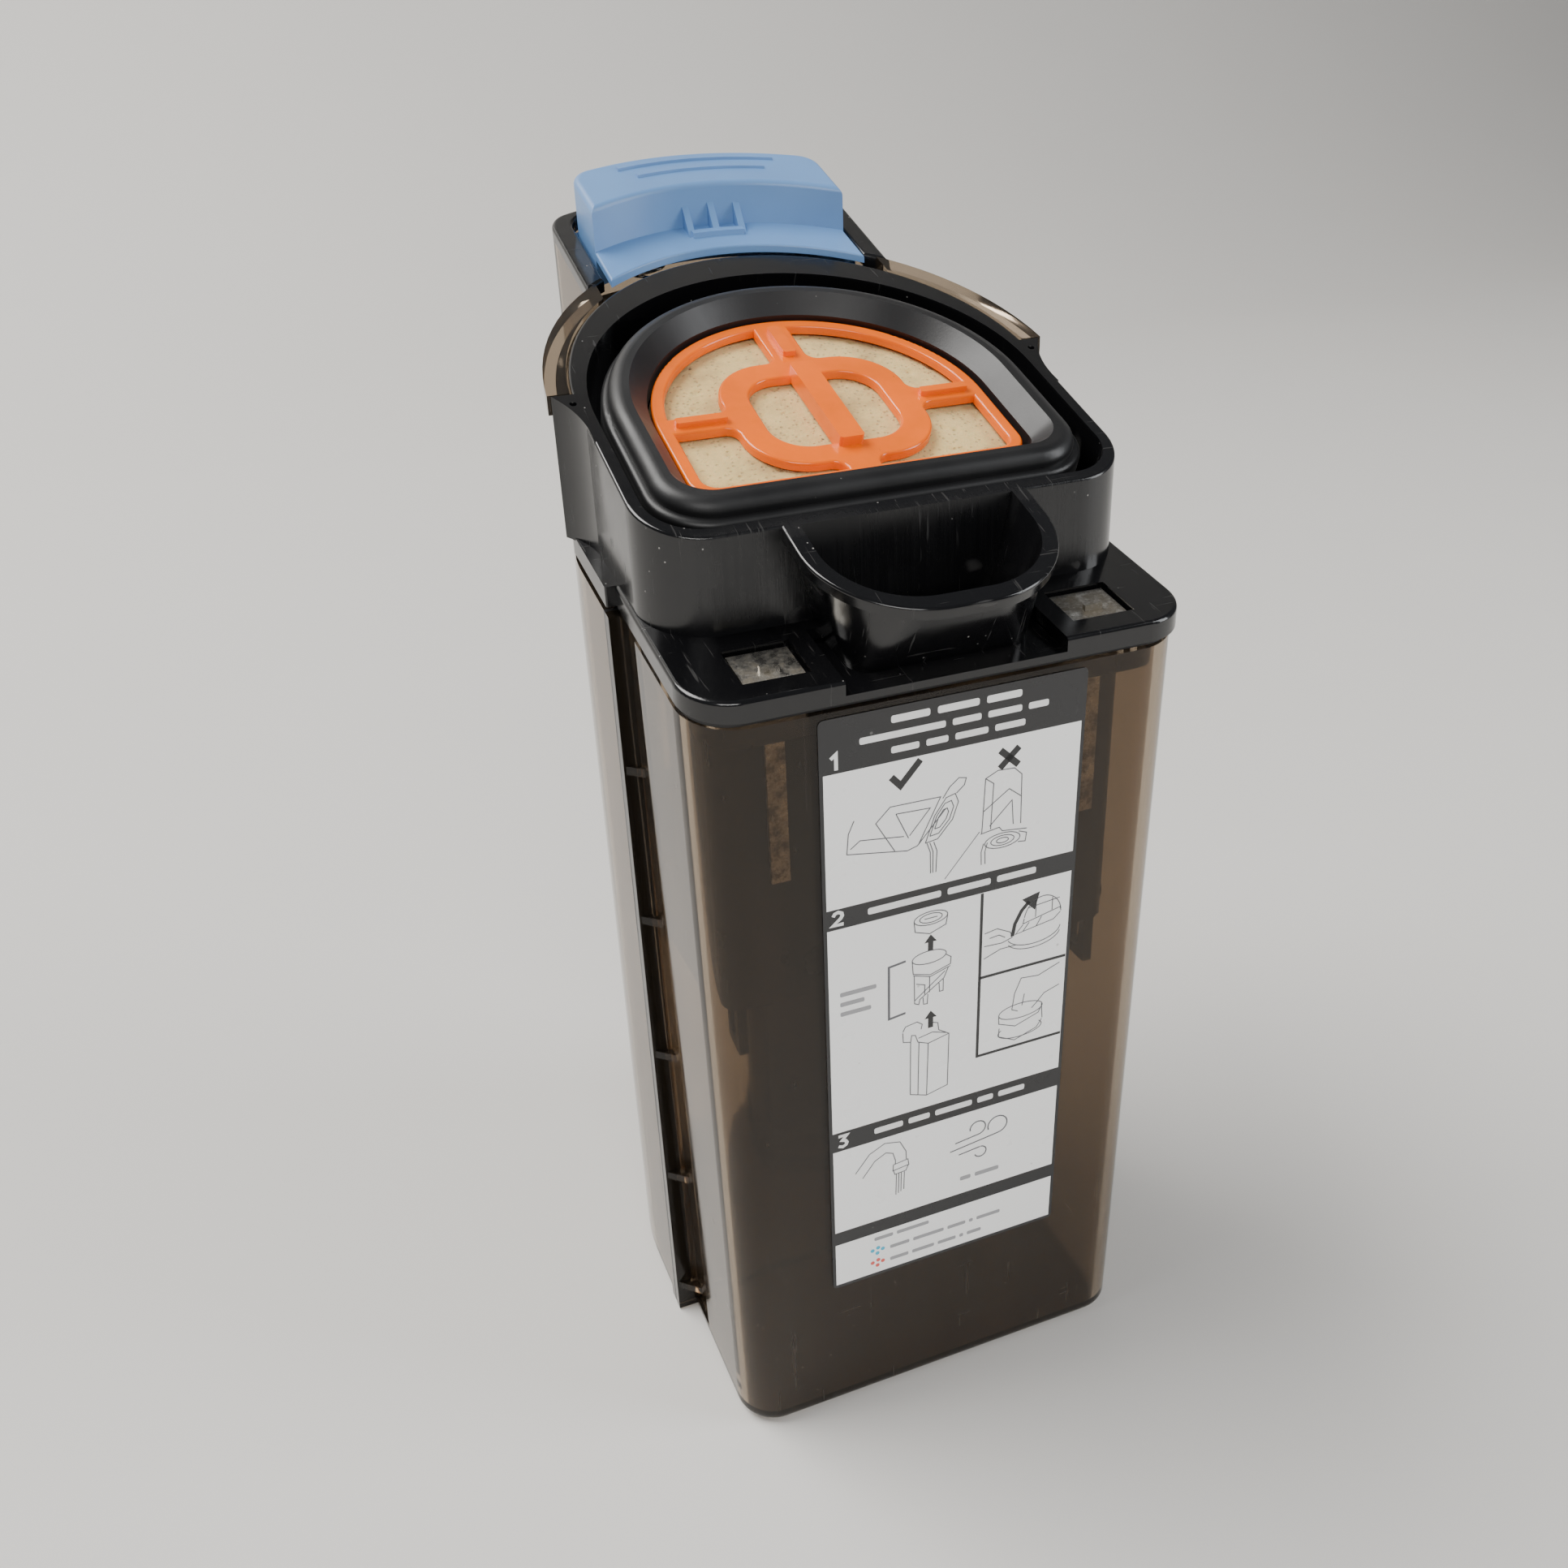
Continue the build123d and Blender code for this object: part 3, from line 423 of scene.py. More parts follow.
def pale_studio(colour):
    """Matt floor paint."""
    f = Finish("studio_paint", Specular_IOR_Level=0.2)
    f.set("Base Color", f.tint(f.cloud(6.0, 3.0), colour, scaled(colour, 0.97)))
    f.set("Roughness", f.span(f.cloud(20.0, 2.0), 0.0, 1.0, 0.6, 0.75))
    return f.material


# --- shared making ---
def dress(names, material):
    """Gives carried-over pieces their finish."""
    for name in names:
        slots = NODES[name].material_slots
        for slot in slots:
            slot.material = material
        if not slots:
            NODES[name].data.materials.append(material)


def add_piece(name, mesh, material, body):
    """Links a finished mesh and ties it to its body."""
    piece = bpy.data.objects.new(name, mesh)
    bpy.context.scene.collection.objects.link(piece)
    mesh.materials.append(material)
    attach(piece, body)
    return piece


# --- foam ---
FILTER_SLOPE = math.atan(0.37)
FOAM_HALF = 30.2 * MM
FOAM_LONG = 50.2 * MM
FOAM_DEEP = 14.2 * MM
FOAM_CORNER = 3.0 * MM
FOAM_MIDDLE = (0.0, FOAM_LONG * 0.48)
FOAM_EDGE = 0.9 * MM
FOAM_EDGE_WIDE = 1.6 * MM
SIDE_LEVELS = (0.16, 0.34, 0.55, 0.78, 0.96)
BASE_SHARES = (0.985, 0.6, 0.25)
LUMP_PITCH = 0.009
LUMP_HIGH = 0.16 * MM
FINE_PITCH = 0.0009
FINE_HIGH = 0.07 * MM
SIDE_PITCH = 0.002
ARC_STEPS = 24


def d_edge(half, length, corner, count):
    """Evenly spaced points round a D with its straight side at the front."""
    turn = length - half
    path = []
    for step in range(ARC_STEPS + 1):
        angle = math.radians(-90 + 90 * step / ARC_STEPS)
        path.append((half - corner + corner * math.cos(angle), corner + corner * math.sin(angle)))
    for step in range(4 * ARC_STEPS + 1):
        angle = math.pi * step / (4 * ARC_STEPS)
        path.append((half * math.cos(angle), turn + half * math.sin(angle)))
    for step in range(ARC_STEPS + 1):
        angle = math.radians(180 + 90 * step / ARC_STEPS)
        path.append((-half + corner + corner * math.cos(angle), corner + corner * math.sin(angle)))
    path.append(path[0])
    runs = [math.dist(a, b) for a, b in zip(path, path[1:])]
    total = sum(runs)
    points = []
    at, travelled = 0, 0.0
    for index in range(count):
        goal = total * index / count
        while travelled + runs[at] < goal:
            travelled += runs[at]
            at += 1
        part = (goal - travelled) / runs[at]
        a, b = path[at], path[at + 1]
        points.append((a[0] + part * (b[0] - a[0]), a[1] + part * (b[1] - a[1])))
    return points


def foam_height(x, y, shape):
    """Relief of the foam's top: broad lumps, less the open pores."""
    here = Vector((x, y, 0.0))
    lumps = noise.fractal(here / LUMP_PITCH, 1.0, 2.0, 3) * LUMP_HIGH
    fine = noise.noise(here / FINE_PITCH) * FINE_HIGH
    pit = 0.0
    near, spots = noise.voronoi(here / shape.pore)
    size = 0.16 + 0.22 * noise.cell(spots[0] * 3.0)
    if near[0] < size:
        pit = (1.0 - (near[0] / size) ** 2) * shape.pore_depth
    return lumps + fine - pit


def foam_mesh(shape):
    """The foam block in its own frame: x across, y up the slope, z out of the filter."""
    outline = d_edge(FOAM_HALF, FOAM_LONG, FOAM_CORNER, shape.around)
    middle_x, middle_y = FOAM_MIDDLE
    mesh = bmesh.new()
    loops = []
    for ring in range(1, shape.rings + 1):
        share = ring / shape.rings
        loop = []
        swell = shape.crown * (1.0 - share ** 4)
        for x, y in outline:
            px = middle_x + share * (x - middle_x)
            py = middle_y + share * (y - middle_y)
            inset = (1.0 - share) * math.hypot(x - middle_x, y - middle_y)
            drop = FOAM_EDGE * max(0.0, 1.0 - inset / FOAM_EDGE_WIDE) ** 2
            loop.append(mesh.verts.new((px, py, swell + foam_height(px, py, shape) - drop)))
        loops.append(loop)
    for level in SIDE_LEVELS:
        depth = -FOAM_EDGE - level * (FOAM_DEEP - FOAM_EDGE)
        squeeze = 1.0 - 0.004 * math.sin(math.pi * level)
        loop = []
        for x, y in outline:
            rough = 1.0 + 0.002 * noise.noise(Vector((x, y, depth)) / SIDE_PITCH)
            side_y = middle_y + (y - middle_y) * squeeze * rough
            loop.append(mesh.verts.new((x * squeeze * rough, side_y, depth)))
        loops.append(loop)
    for share in BASE_SHARES:
        loops.append([mesh.verts.new((share * x, middle_y + share * (y - middle_y), -FOAM_DEEP))
                      for x, y in outline])
    count = len(outline)
    for upper, lower in zip(loops, loops[1:]):
        for index in range(count):
            after = (index + 1) % count
            mesh.faces.new((upper[index], lower[index], lower[after], upper[after]))
    top = mesh.verts.new((middle_x, middle_y, shape.crown + foam_height(middle_x, middle_y, shape)))
    base = mesh.verts.new((middle_x, middle_y, -FOAM_DEEP))
    for index in range(count):
        after = (index + 1) % count
        mesh.faces.new((top, loops[0][index], loops[0][after]))
        mesh.faces.new((base, loops[-1][after], loops[-1][index]))
    for face in mesh.faces:
        face.smooth = True
    bmesh.ops.recalc_face_normals(mesh, faces=mesh.faces)
    data = bpy.data.meshes.new("foam_block")
    mesh.to_mesh(data)
    mesh.free()
    return data


# --- label print ---
LABEL_HALF = 23.25 * MM
LABEL_TALL = 117.6 * MM
FACE_LEAN = math.radians(0.6)
INK_LIFT = 0.004 * MM
BAR_ROUND = 0.3
ARROW_HEAD = 1.3
ARROW_SHAFT = 0.42
SHARPEST_TURN = 0.45


class Print:
    """Flat print on the label: shapes are laid down in one layer of ink."""

    def __init__(self, name, layer, ink):
        low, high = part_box("instruction_label")
        foot = low.y + LABEL_TALL * math.sin(FACE_LEAN)
        self.name = name
        self.origin = Vector((0.0, foot, low.z))
        self.up = Vector((0.0, -math.sin(FACE_LEAN), math.cos(FACE_LEAN)))
        self.out = Vector((0.0, -math.cos(FACE_LEAN), -math.sin(FACE_LEAN)))
        self.low = layer * ink + INK_LIFT
        self.high = (layer + 1) * ink
        self.mesh = bmesh.new()

    def point(self, u, v, height):
        """A place on the label in millimetres: across, up, and out of it."""
        return self.origin + Vector((u * MM, 0, 0)) + self.up * (v * MM) + self.out * height

    def patch(self, corners):
        """A filled shape."""
        base = [self.mesh.verts.new(self.point(u, v, self.low)) for u, v in corners]
        top = [self.mesh.verts.new(self.point(u, v, self.high)) for u, v in corners]
        self.mesh.faces.new(base[::-1])
        self.mesh.faces.new(top)
        for index in range(len(corners)):
            after = (index + 1) % len(corners)
            self.mesh.faces.new((base[index], base[after], top[after], top[index]))

    def box(self, left, low, right, high, corner=0.0):
        """A filled rectangle, with round corners if asked."""
        if corner <= 0:
            self.patch([(left, low), (right, low), (right, high), (left, high)])
            return
        corners = []
        for x, y, start in ((right - corner, low + corner, -90), (right - corner, high - corner, 0),
                            (left + corner, high - corner, 90), (left + corner, low + corner, 180)):
            for step in range(5):
                angle = math.radians(start + 22.5 * step)
                corners.append((x + corner * math.cos(angle), y + corner * math.sin(angle)))
        self.patch(corners)

    def words(self, left, middle, lengths, tall, gap):
        """A row of short bars in place of words."""
        for length in lengths:
            self.box(left, middle - tall / 2, left + length, middle + tall / 2, tall * BAR_ROUND)
            left += length + gap

    def line(self, path, width):
        """A stroke of even width along a path."""
        half = width / MM / 2
        left, right = [], []
        for index, (u, v) in enumerate(path):
            before = path[max(index - 1, 0)]
            after = path[min(index + 1, len(path) - 1)]
            first = Vector((u - before[0], v - before[1]))
            second = Vector((after[0] - u, after[1] - v))
            first = first.normalized() if first.length > 0 else second.normalized()
            second = second.normalized() if second.length > 0 else first
            along = (first + second).normalized() if (first + second).length > 1e-6 else first
            reach = half / max(SHARPEST_TURN, along.dot(first))
            left.append((u - along.y * reach, v + along.x * reach))
            right.append((u + along.y * reach, v - along.x * reach))
        for index in range(len(path) - 1):
            self.patch([right[index], right[index + 1], left[index + 1], left[index]])

    def arc(self, u, v, radius, start, end, width, flat=1.0, steps=14):
        """A stroke along part of a circle or ellipse, angles in degrees."""
        path = []
        for step in range(steps + 1):
            angle = math.radians(start + (end - start) * step / steps)
            path.append((u + radius * math.cos(angle), v + radius * flat * math.sin(angle)))
        self.line(path, width)

    def dot(self, u, v, radius, sides=14):
        """A filled disc."""
        turns = [2 * math.pi / sides * side for side in range(sides)]
        self.patch([(u + radius * math.cos(turn), v + radius * math.sin(turn)) for turn in turns])

    def arrow(self, u, low, high, wide):
        """A bold arrow that points up."""
        neck = high - ARROW_HEAD * wide
        slim = wide * ARROW_SHAFT
        self.patch([(u - slim, low), (u + slim, low), (u + slim, neck), (u + wide, neck),
                    (u, high), (u - wide, neck), (u - slim, neck)])

    def finish(self, material):
        """Turns the print into a piece on the tank."""
        bmesh.ops.recalc_face_normals(self.mesh, faces=self.mesh.faces)
        data = bpy.data.meshes.new(self.name)
        self.mesh.to_mesh(data)
        self.mesh.free()
        add_piece(self.name, data, material, "tank")


# white panels: lower and upper edge of each, in millimetres up the label
PANELS = ((0.75, 10.8), (13.9, 33.2), (37.5, 80.0), (83.9, 108.3))
# rows of bars: left end, middle height, bar lengths, bar height and gap
WHITE_BARS = (
    (-11.2, 115.5, (6.6, 7.2, 6.2), 1.25, 1.3),
    (-16.5, 112.9, (14.6, 5.0, 6.0, 3.6), 1.15, 1.2),
    (-11.2, 110.3, (4.8, 3.8, 5.8, 5.4), 1.15, 1.2),
    (-15.4, 82.0, (13.2, 8.0, 7.4), 1.25, 1.2),
    (-14.6, 35.4, (5.6, 4.2, 7.4, 3.2, 5.4), 1.25, 1.1),
)
GREY_BARS = (
    (-20.6, 66.9, (6.6,), 0.85, 1.1),
    (-20.6, 64.9, (4.4,), 0.85, 1.1),
    (-20.6, 62.9, (5.6,), 0.85, 1.1),
    (2.8, 17.6, (2.2, 5.0), 0.95, 0.9),
    (-14.8, 9.3, (3.8, 6.6), 0.8, 0.8),
    (-11.6, 6.2, (4.0, 6.4, 3.8, 0.8, 5.0), 0.8, 0.8),
    (-11.6, 3.1, (3.8, 4.6, 3.8, 0.8, 3.0), 0.8, 0.8),
)
DOT_ROWS = {"label_blue_dots": 6.2, "label_red_dots": 3.1}
DOT_CLUSTER = ((-1.0, 0.35), (0.0, -0.55), (0.15, 0.75), (1.1, 0.2))
DOT_LEFT = -14.2
DOT_RADIUS = 0.42
DIVIDER = 5.5
MARK_WIDE = 1.15
CURVED_WIDE = 0.7
BLACK_INK = (0.012, 0.012, 0.013)
WORN_BLACK = (0.4, 0.4, 0.38)
SOIL = (0.35, 0.33, 0.30)
# each piece of print: layer, material, ink, how much its marks show, roughness
PRINTS = {
    "label_panels": (0, "label_white", (0.90, 0.90, 0.89), 0.55, 0.26),
    "label_light_print": (0, "label_reversed", (0.78, 0.78, 0.77), 0.3, 0.26),
    "label_fine_print": (1, "label_line_ink", (0.10, 0.10, 0.11), 0.2, 0.28),
    "label_bold_print": (1, "label_solid_ink", BLACK_INK, 0.2, 0.22),
    "label_grey_print": (1, "label_grey_ink", (0.30, 0.30, 0.31), 0.2, 0.28),
    "label_blue_dots": (1, "label_blue_ink", (0.03, 0.42, 0.62), 0.2, 0.28),
    "label_red_dots": (1, "label_red_ink", (0.70, 0.10, 0.08), 0.2, 0.28),
}


def draw_numerals(white):
    """Step numbers 1, 2 and 3 on the black bars."""
    stem = 0.62 * MM
    white.line([(-21.3, 110.9), (-20.4, 111.6), (-20.4, 108.9)], stem)
    white.line([(-21.5, 82.6), (-21.2, 83.1), (-20.6, 83.3), (-20.0, 83.0), (-19.9, 82.5), (-20.2, 82.0),
                (-21.6, 80.9), (-19.7, 80.9)], stem)
    white.line([(-21.5, 36.6), (-19.9, 36.6), (-20.8, 35.6), (-20.2, 35.4), (-19.9, 34.9), (-20.1, 34.4),
                (-20.7, 34.1), (-21.5, 34.4)], stem)


def draw_tilted_tank(ink, fine):
    """A tank lying on its side with water running out."""
    ink.line([(-17.6, 99.4), (-18.6, 97.2), (-18.9, 93.6), (-8.4, 91.7), (-6.6, 92.2), (-1.6, 97.9)], fine)
    ink.line([(-18.3, 94.4), (-16.6, 95.6), (-9.0, 94.5)], fine)
    ink.line([(-10.6, 92.2), (-13.9, 98.0), (-11.4, 100.4), (-2.6, 100.2), (-6.4, 92.4)], fine)
    ink.line([(-10.4, 98.9), (-8.2, 94.0)], fine)
    ink.line([(-10.4, 98.9), (-4.4, 98.6), (-8.0, 94.4)], fine)
    for grow in (1.0, 0.72, 0.42):
        ink.line([(-2.4 + grow * (u + 2.4), 96.2 + grow * (v - 96.2)) for u, v in (
            (-5.2, 92.3), (-3.0, 92.6), (-0.4, 95.6), (0.6, 98.6), (0.0, 100.2), (-1.6, 99.8),
            (-3.6, 97.0), (-5.2, 92.3))], fine)
    ink.line([(0.2, 100.2), (1.6, 101.4), (1.9, 102.6), (0.6, 102.9), (-1.0, 101.6), (-2.2, 99.8)], fine)
    for shift in (0.0, 0.5, 1.2):
        ink.line([(-4.9 + shift, 92.2), (-4.3 + shift, 90.4), (-4.2 + shift * 0.8, 86.4)], fine)


def draw_upturned_tank(ink, fine):
    """A tank held upside down over its filter."""
    ink.line([(5.0, 91.6), (5.4, 101.6), (7.6, 102.6), (10.6, 102.4), (12.0, 101.0), (12.2, 91.8)], fine)
    ink.line([(6.6, 92.0), (6.9, 100.4), (5.4, 101.6)], fine)
    ink.line([(5.2, 95.6), (9.8, 98.8), (12.0, 97.0)], fine)
    ink.line([(6.4, 92.6), (10.4, 96.6), (10.8, 92.0)], fine)
    ink.line([(4.8, 91.5), (8.2, 92.0), (8.8, 91.2), (13.4, 90.6)], fine)
    for grow in (1.0, 0.66, 0.34):
        ink.arc(8.9, 89.4, 3.3 * grow, 0, 360, fine, 0.42, 18)
    ink.line([(11.9, 90.4), (13.4, 89.8), (13.2, 88.2), (11.8, 88.4)], fine)
    for shift in (0.0, 0.7):
        ink.line([(5.4 + shift, 89.6), (5.0 + shift, 88.0), (5.1 + shift, 85.6)], fine)
    ink.line([(4.6, 92.0), (-1.6, 84.6)], fine * 0.8)


def draw_exploded_tank(ink, fine, bold):
    """Filter, strainer and tank pulled apart."""
    ink.arc(-4.0, 77.7, 3.1, 0, 360, fine, 0.42, 20)
    ink.arc(-4.0, 77.7, 2.1, 0, 360, fine, 0.42, 16)
    ink.line([(-7.1, 77.6), (-6.9, 75.6), (-4.2, 74.6), (-1.2, 75.7), (-0.9, 77.6)], fine)
    ink.line([(-5.2, 77.7), (-2.8, 77.7)], fine)
    ink.arc(-4.2, 69.9, 3.2, 0, 360, fine, 0.40, 20)
    ink.line([(-7.4, 69.8), (-7.2, 67.2), (-4.0, 66.2), (-0.2, 67.4), (-0.1, 68.8), (-1.1, 69.6)], fine)
    ink.line([(-7.2, 66.9), (-4.0, 65.8), (-0.2, 67.0)], fine)
    ink.line([(-7.0, 66.8), (-6.9, 61.0), (-6.1, 60.6), (-5.9, 61.6), (-1.4, 64.8), (-0.6, 66.8)], fine)
    ink.line([(-4.1, 65.8), (-4.1, 62.6)], fine)
    ink.line([(-6.6, 65.0), (-5.0, 64.4), (-5.0, 62.4)], fine)
    ink.line([(-6.9, 61.6), (-1.2, 66.2)], fine)
    ink.line([(-5.3, 61.8), (-5.2, 60.4), (-4.5, 60.3), (-4.4, 62.3)], fine)
    ink.line([(-2.3, 64.0), (-2.2, 62.2), (-1.5, 62.2), (-1.5, 64.6)], fine)
    ink.line([(-9.1, 55.6), (-8.6, 56.6), (-6.4, 57.0), (-5.4, 56.2), (-5.6, 55.2)], fine)
    ink.line([(-9.1, 55.4), (-9.0, 53.4), (-7.6, 53.0), (-7.4, 54.4), (-6.7, 54.2), (-6.2, 52.6),
              (-4.2, 51.7), (-0.2, 52.6), (-2.2, 54.0), (-2.4, 55.6), (-3.4, 56.0)], fine)
    ink.line([(-7.6, 53.0), (-7.6, 41.4), (-4.4, 40.2), (-0.3, 41.2), (-0.2, 52.5)], fine)
    ink.line([(-4.2, 51.7), (-4.4, 40.2)], fine)
    ink.line([(-6.0, 52.6), (-6.1, 40.9)], fine)
    ink.line([(-6.1, 53.4), (-3.4, 53.9), (-0.6, 52.9)], fine)
    ink.line([(-8.6, 70.3), (-11.7, 69.9), (-11.7, 59.2), (-8.6, 59.6)], bold)


def draw_side_pictures(ink, fine):
    """Opening the grille, and pressing the foam out."""
    ink.arc(17.4, 72.2, 3.6, 8, 172, fine, 1.15, 18)
    ink.line([(13.8, 72.6), (13.6, 71.6), (20.8, 73.2), (21.0, 72.4)], fine)
    ink.line([(16.0, 72.4), (16.0, 76.2)], fine)
    ink.line([(19.2, 73.0), (19.2, 75.6)], fine)
    ink.line([(14.6, 74.6), (20.6, 75.2)], fine)
    ink.line([(13.6, 71.4), (12.2, 69.8), (19.6, 71.0), (20.9, 72.2)], fine)
    ink.line([(14.8, 71.6), (13.6, 70.0)], fine)
    ink.line([(17.2, 72.2), (16.2, 70.4)], fine)
    ink.arc(15.8, 69.6, 5.2, 196, 358, fine, 0.50, 18)
    ink.arc(15.8, 68.8, 5.2, 200, 352, fine, 0.50, 18)
    ink.line([(6.2, 71.6), (8.6, 72.0), (11.2, 70.6), (11.6, 69.4), (9.6, 68.8), (6.2, 69.0)], fine)
    ink.line([(6.2, 66.4), (9.4, 67.6), (12.4, 67.6)], fine)
    ink.line([(7.2, 70.4), (9.0, 70.6), (10.2, 69.8)], fine)
    ink.line([(21.4, 61.4), (17.2, 59.8), (13.8, 60.2), (12.6, 57.2), (12.2, 53.8), (13.4, 53.2)], fine)
    ink.line([(21.6, 56.6), (18.6, 55.6), (17.2, 54.0), (16.2, 53.0)], fine)
    ink.line([(14.6, 56.6), (14.2, 54.2)], fine)
    ink.arc(14.0, 53.2, 4.4, 0, 360, fine, 0.36, 22)
    ink.line([(9.6, 53.0), (9.7, 51.4), (13.0, 50.0), (17.6, 51.6), (18.4, 53.2)], fine)
    ink.arc(14.0, 49.0, 4.4, 150, 390, fine, 0.36, 18)
    ink.line([(9.8, 50.4), (9.7, 48.6), (13.0, 46.9), (17.4, 48.4), (18.4, 50.0)], fine)
    ink.line([(18.2, 53.4), (18.5, 50.2)], fine)


def draw_drying(ink, fine, bold):
    """A running tap, and curls of moving air."""
    ink.line([(-18.4, 26.8), (-15.6, 30.4), (-12.6, 31.9), (-9.6, 31.2), (-8.4, 28.6), (-8.3, 26.6)], fine)
    ink.line([(-17.0, 25.2), (-14.6, 28.4), (-12.4, 29.6), (-11.0, 29.0), (-10.5, 27.2),
              (-10.5, 26.2)], fine)
    ink.line([(-10.9, 26.2), (-8.0, 26.6), (-7.8, 25.2), (-11.0, 24.8), (-10.9, 26.2)], fine)
    ink.line([(-10.9, 24.8), (-10.6, 23.8), (-8.4, 24.0), (-7.9, 25.2)], fine)
    for shift in (0.0, 0.5, 1.0, 1.6):
        ink.line([(-10.3 + shift, 23.8), (-10.4 + shift, 18.8 + 0.5 * shift)], fine)
    breeze = 0.6 * bold
    ink.line([(1.6, 26.6), (6.2, 27.2)], breeze)
    ink.arc(6.2, 28.8, 1.6, -90, 190, breeze)
    ink.line([(0.6, 24.9), (10.4, 26.2)], breeze)
    ink.arc(10.3, 28.2, 2.0, -90, 200, breeze)
    ink.line([(2.4, 23.6), (6.8, 24.1)], breeze)
    ink.arc(6.9, 22.9, 1.2, 90, -160, breeze)


def draw_bold_marks(solid, bold, edge):
    """Tick, cross, arrows and the frames of the two side pictures."""
    solid.line([(-11.2, 105.6), (-9.6, 103.8), (-6.2, 107.6)], MARK_WIDE * MM)
    solid.line([(7.9, 102.9), (11.3, 106.1)], MARK_WIDE * MM)
    solid.line([(7.9, 106.1), (11.3, 102.9)], MARK_WIDE * MM)
    solid.arrow(-4.0, 71.2, 74.4, MARK_WIDE)
    solid.arrow(-3.8, 55.0, 58.6, MARK_WIDE)
    solid.line([(11.6, 69.6), (12.0, 72.0), (13.2, 74.4), (14.6, 75.9)], CURVED_WIDE * MM)
    solid.patch([(13.2, 76.6), (15.8, 73.9), (16.6, 77.4)])
    frame_wide = 1.3 * bold
    solid.line([(DIVIDER, 79.9), (DIVIDER, 45.6), (edge - 0.1, 45.6)], frame_wide)
    solid.line([(DIVIDER, 62.6), (edge - 0.1, 62.6)], frame_wide)


# --- operators ---
class TANK_OT_shells(bpy.types.Operator):
    """Smoked shells of the tank: the body and the rear cover"""

    bl_idname = "tank.shells"
    bl_label = "Smoked Shells"

    def execute(self, context):
        finish = context.scene.tank_finish
        dress(("tank_body", "rear_cover"), smoke_plastic(tuple(finish.smoke)))
        return {"FINISHED"}


class TANK_OT_seals(bpy.types.Operator):
    """Rubber seals, grommets and the rolled filter gasket"""

    bl_idname = "tank.seals"
    bl_label = "Seals"

    def execute(self, context):
        rubber = black_rubber(tuple(context.scene.tank_finish.rubber))
        names = ("seam_seal", "inlet_seal", "lid_seal", "seat_seal", "probe_grommets", "filter_gasket")
        dress(names, rubber)
        return {"FINISHED"}


class TANK_OT_lid(bpy.types.Operator):
    """Glossy lid moulding and the rim frame of the latch"""

    bl_idname = "tank.lid"
    bl_label = "Lid"

    def execute(self, context):
        finish = context.scene.tank_finish
        dress(("lid_collar", "latch_frame", "filter_frame"), black_plastic(tuple(finish.black)))
        return {"FINISHED"}


class TANK_OT_contacts(bpy.types.Operator):
    """Tarnished level contacts, and the steel springs and screws of the latch"""

    bl_idname = "tank.contacts"
    bl_label = "Metal Pieces"

    def execute(self, context):
        finish = context.scene.tank_finish
        metal = contact_metal(tuple(finish.steel), tuple(finish.tarnish))
        dress(("contact_left", "contact_right"), metal)
        dress(("latch_springs", "latch_screws"), bright_steel())
        return {"FINISHED"}


class TANK_OT_inside(bpy.types.Operator):
    """Strainer, grid, filter mesh, intake pipe and the latch's spring plate"""

    bl_idname = "tank.inside"
    bl_label = "Inner Pieces"

    def execute(self, context):
        finish = context.scene.tank_finish
        names = ("strainer_basket", "debris_grid", "filter_mesh", "intake_pipe", "intake_hood",
                 "spring_plate")
        dress(names, dark_plastic(tuple(finish.dark)))
        return {"FINISHED"}


class TANK_OT_grille(bpy.types.Operator):
    """Orange grille over the foam"""

    bl_idname = "tank.grille"
    bl_label = "Grille"

    def execute(self, context):
        finish = context.scene.tank_finish
        dress(("filter_grille",), orange_plastic(tuple(finish.orange)))
        return {"FINISHED"}


class TANK_OT_latch(bpy.types.Operator):
    """Blue latch button"""

    bl_idname = "tank.latch"
    bl_label = "Latch Button"

    def execute(self, context):
        finish = context.scene.tank_finish
        dress(("latch_button",), blue_plastic(tuple(finish.blue)))
        return {"FINISHED"}


class TANK_OT_foam(bpy.types.Operator):
    """Stained foam block under the grille"""

    bl_idname = "tank.foam"
    bl_label = "Foam"

    def execute(self, context):
        shape = context.scene.tank_foam
        low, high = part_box("foam_filter")
        data = foam_mesh(shape)
        slope = Matrix.Rotation(FILTER_SLOPE, 4, "X")
        front = Vector((0.0, low.y, high.z - FOAM_LONG * math.sin(FILTER_SLOPE)))
        data.transform(Matrix.Translation(front) @ slope)
        finish = foam_cell(tuple(shape.colour), tuple(shape.stain), shape.pore)
        foam = add_piece("foam_block", data, finish, "filter")
        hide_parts("foam_filter")
        return {"FINISHED"}


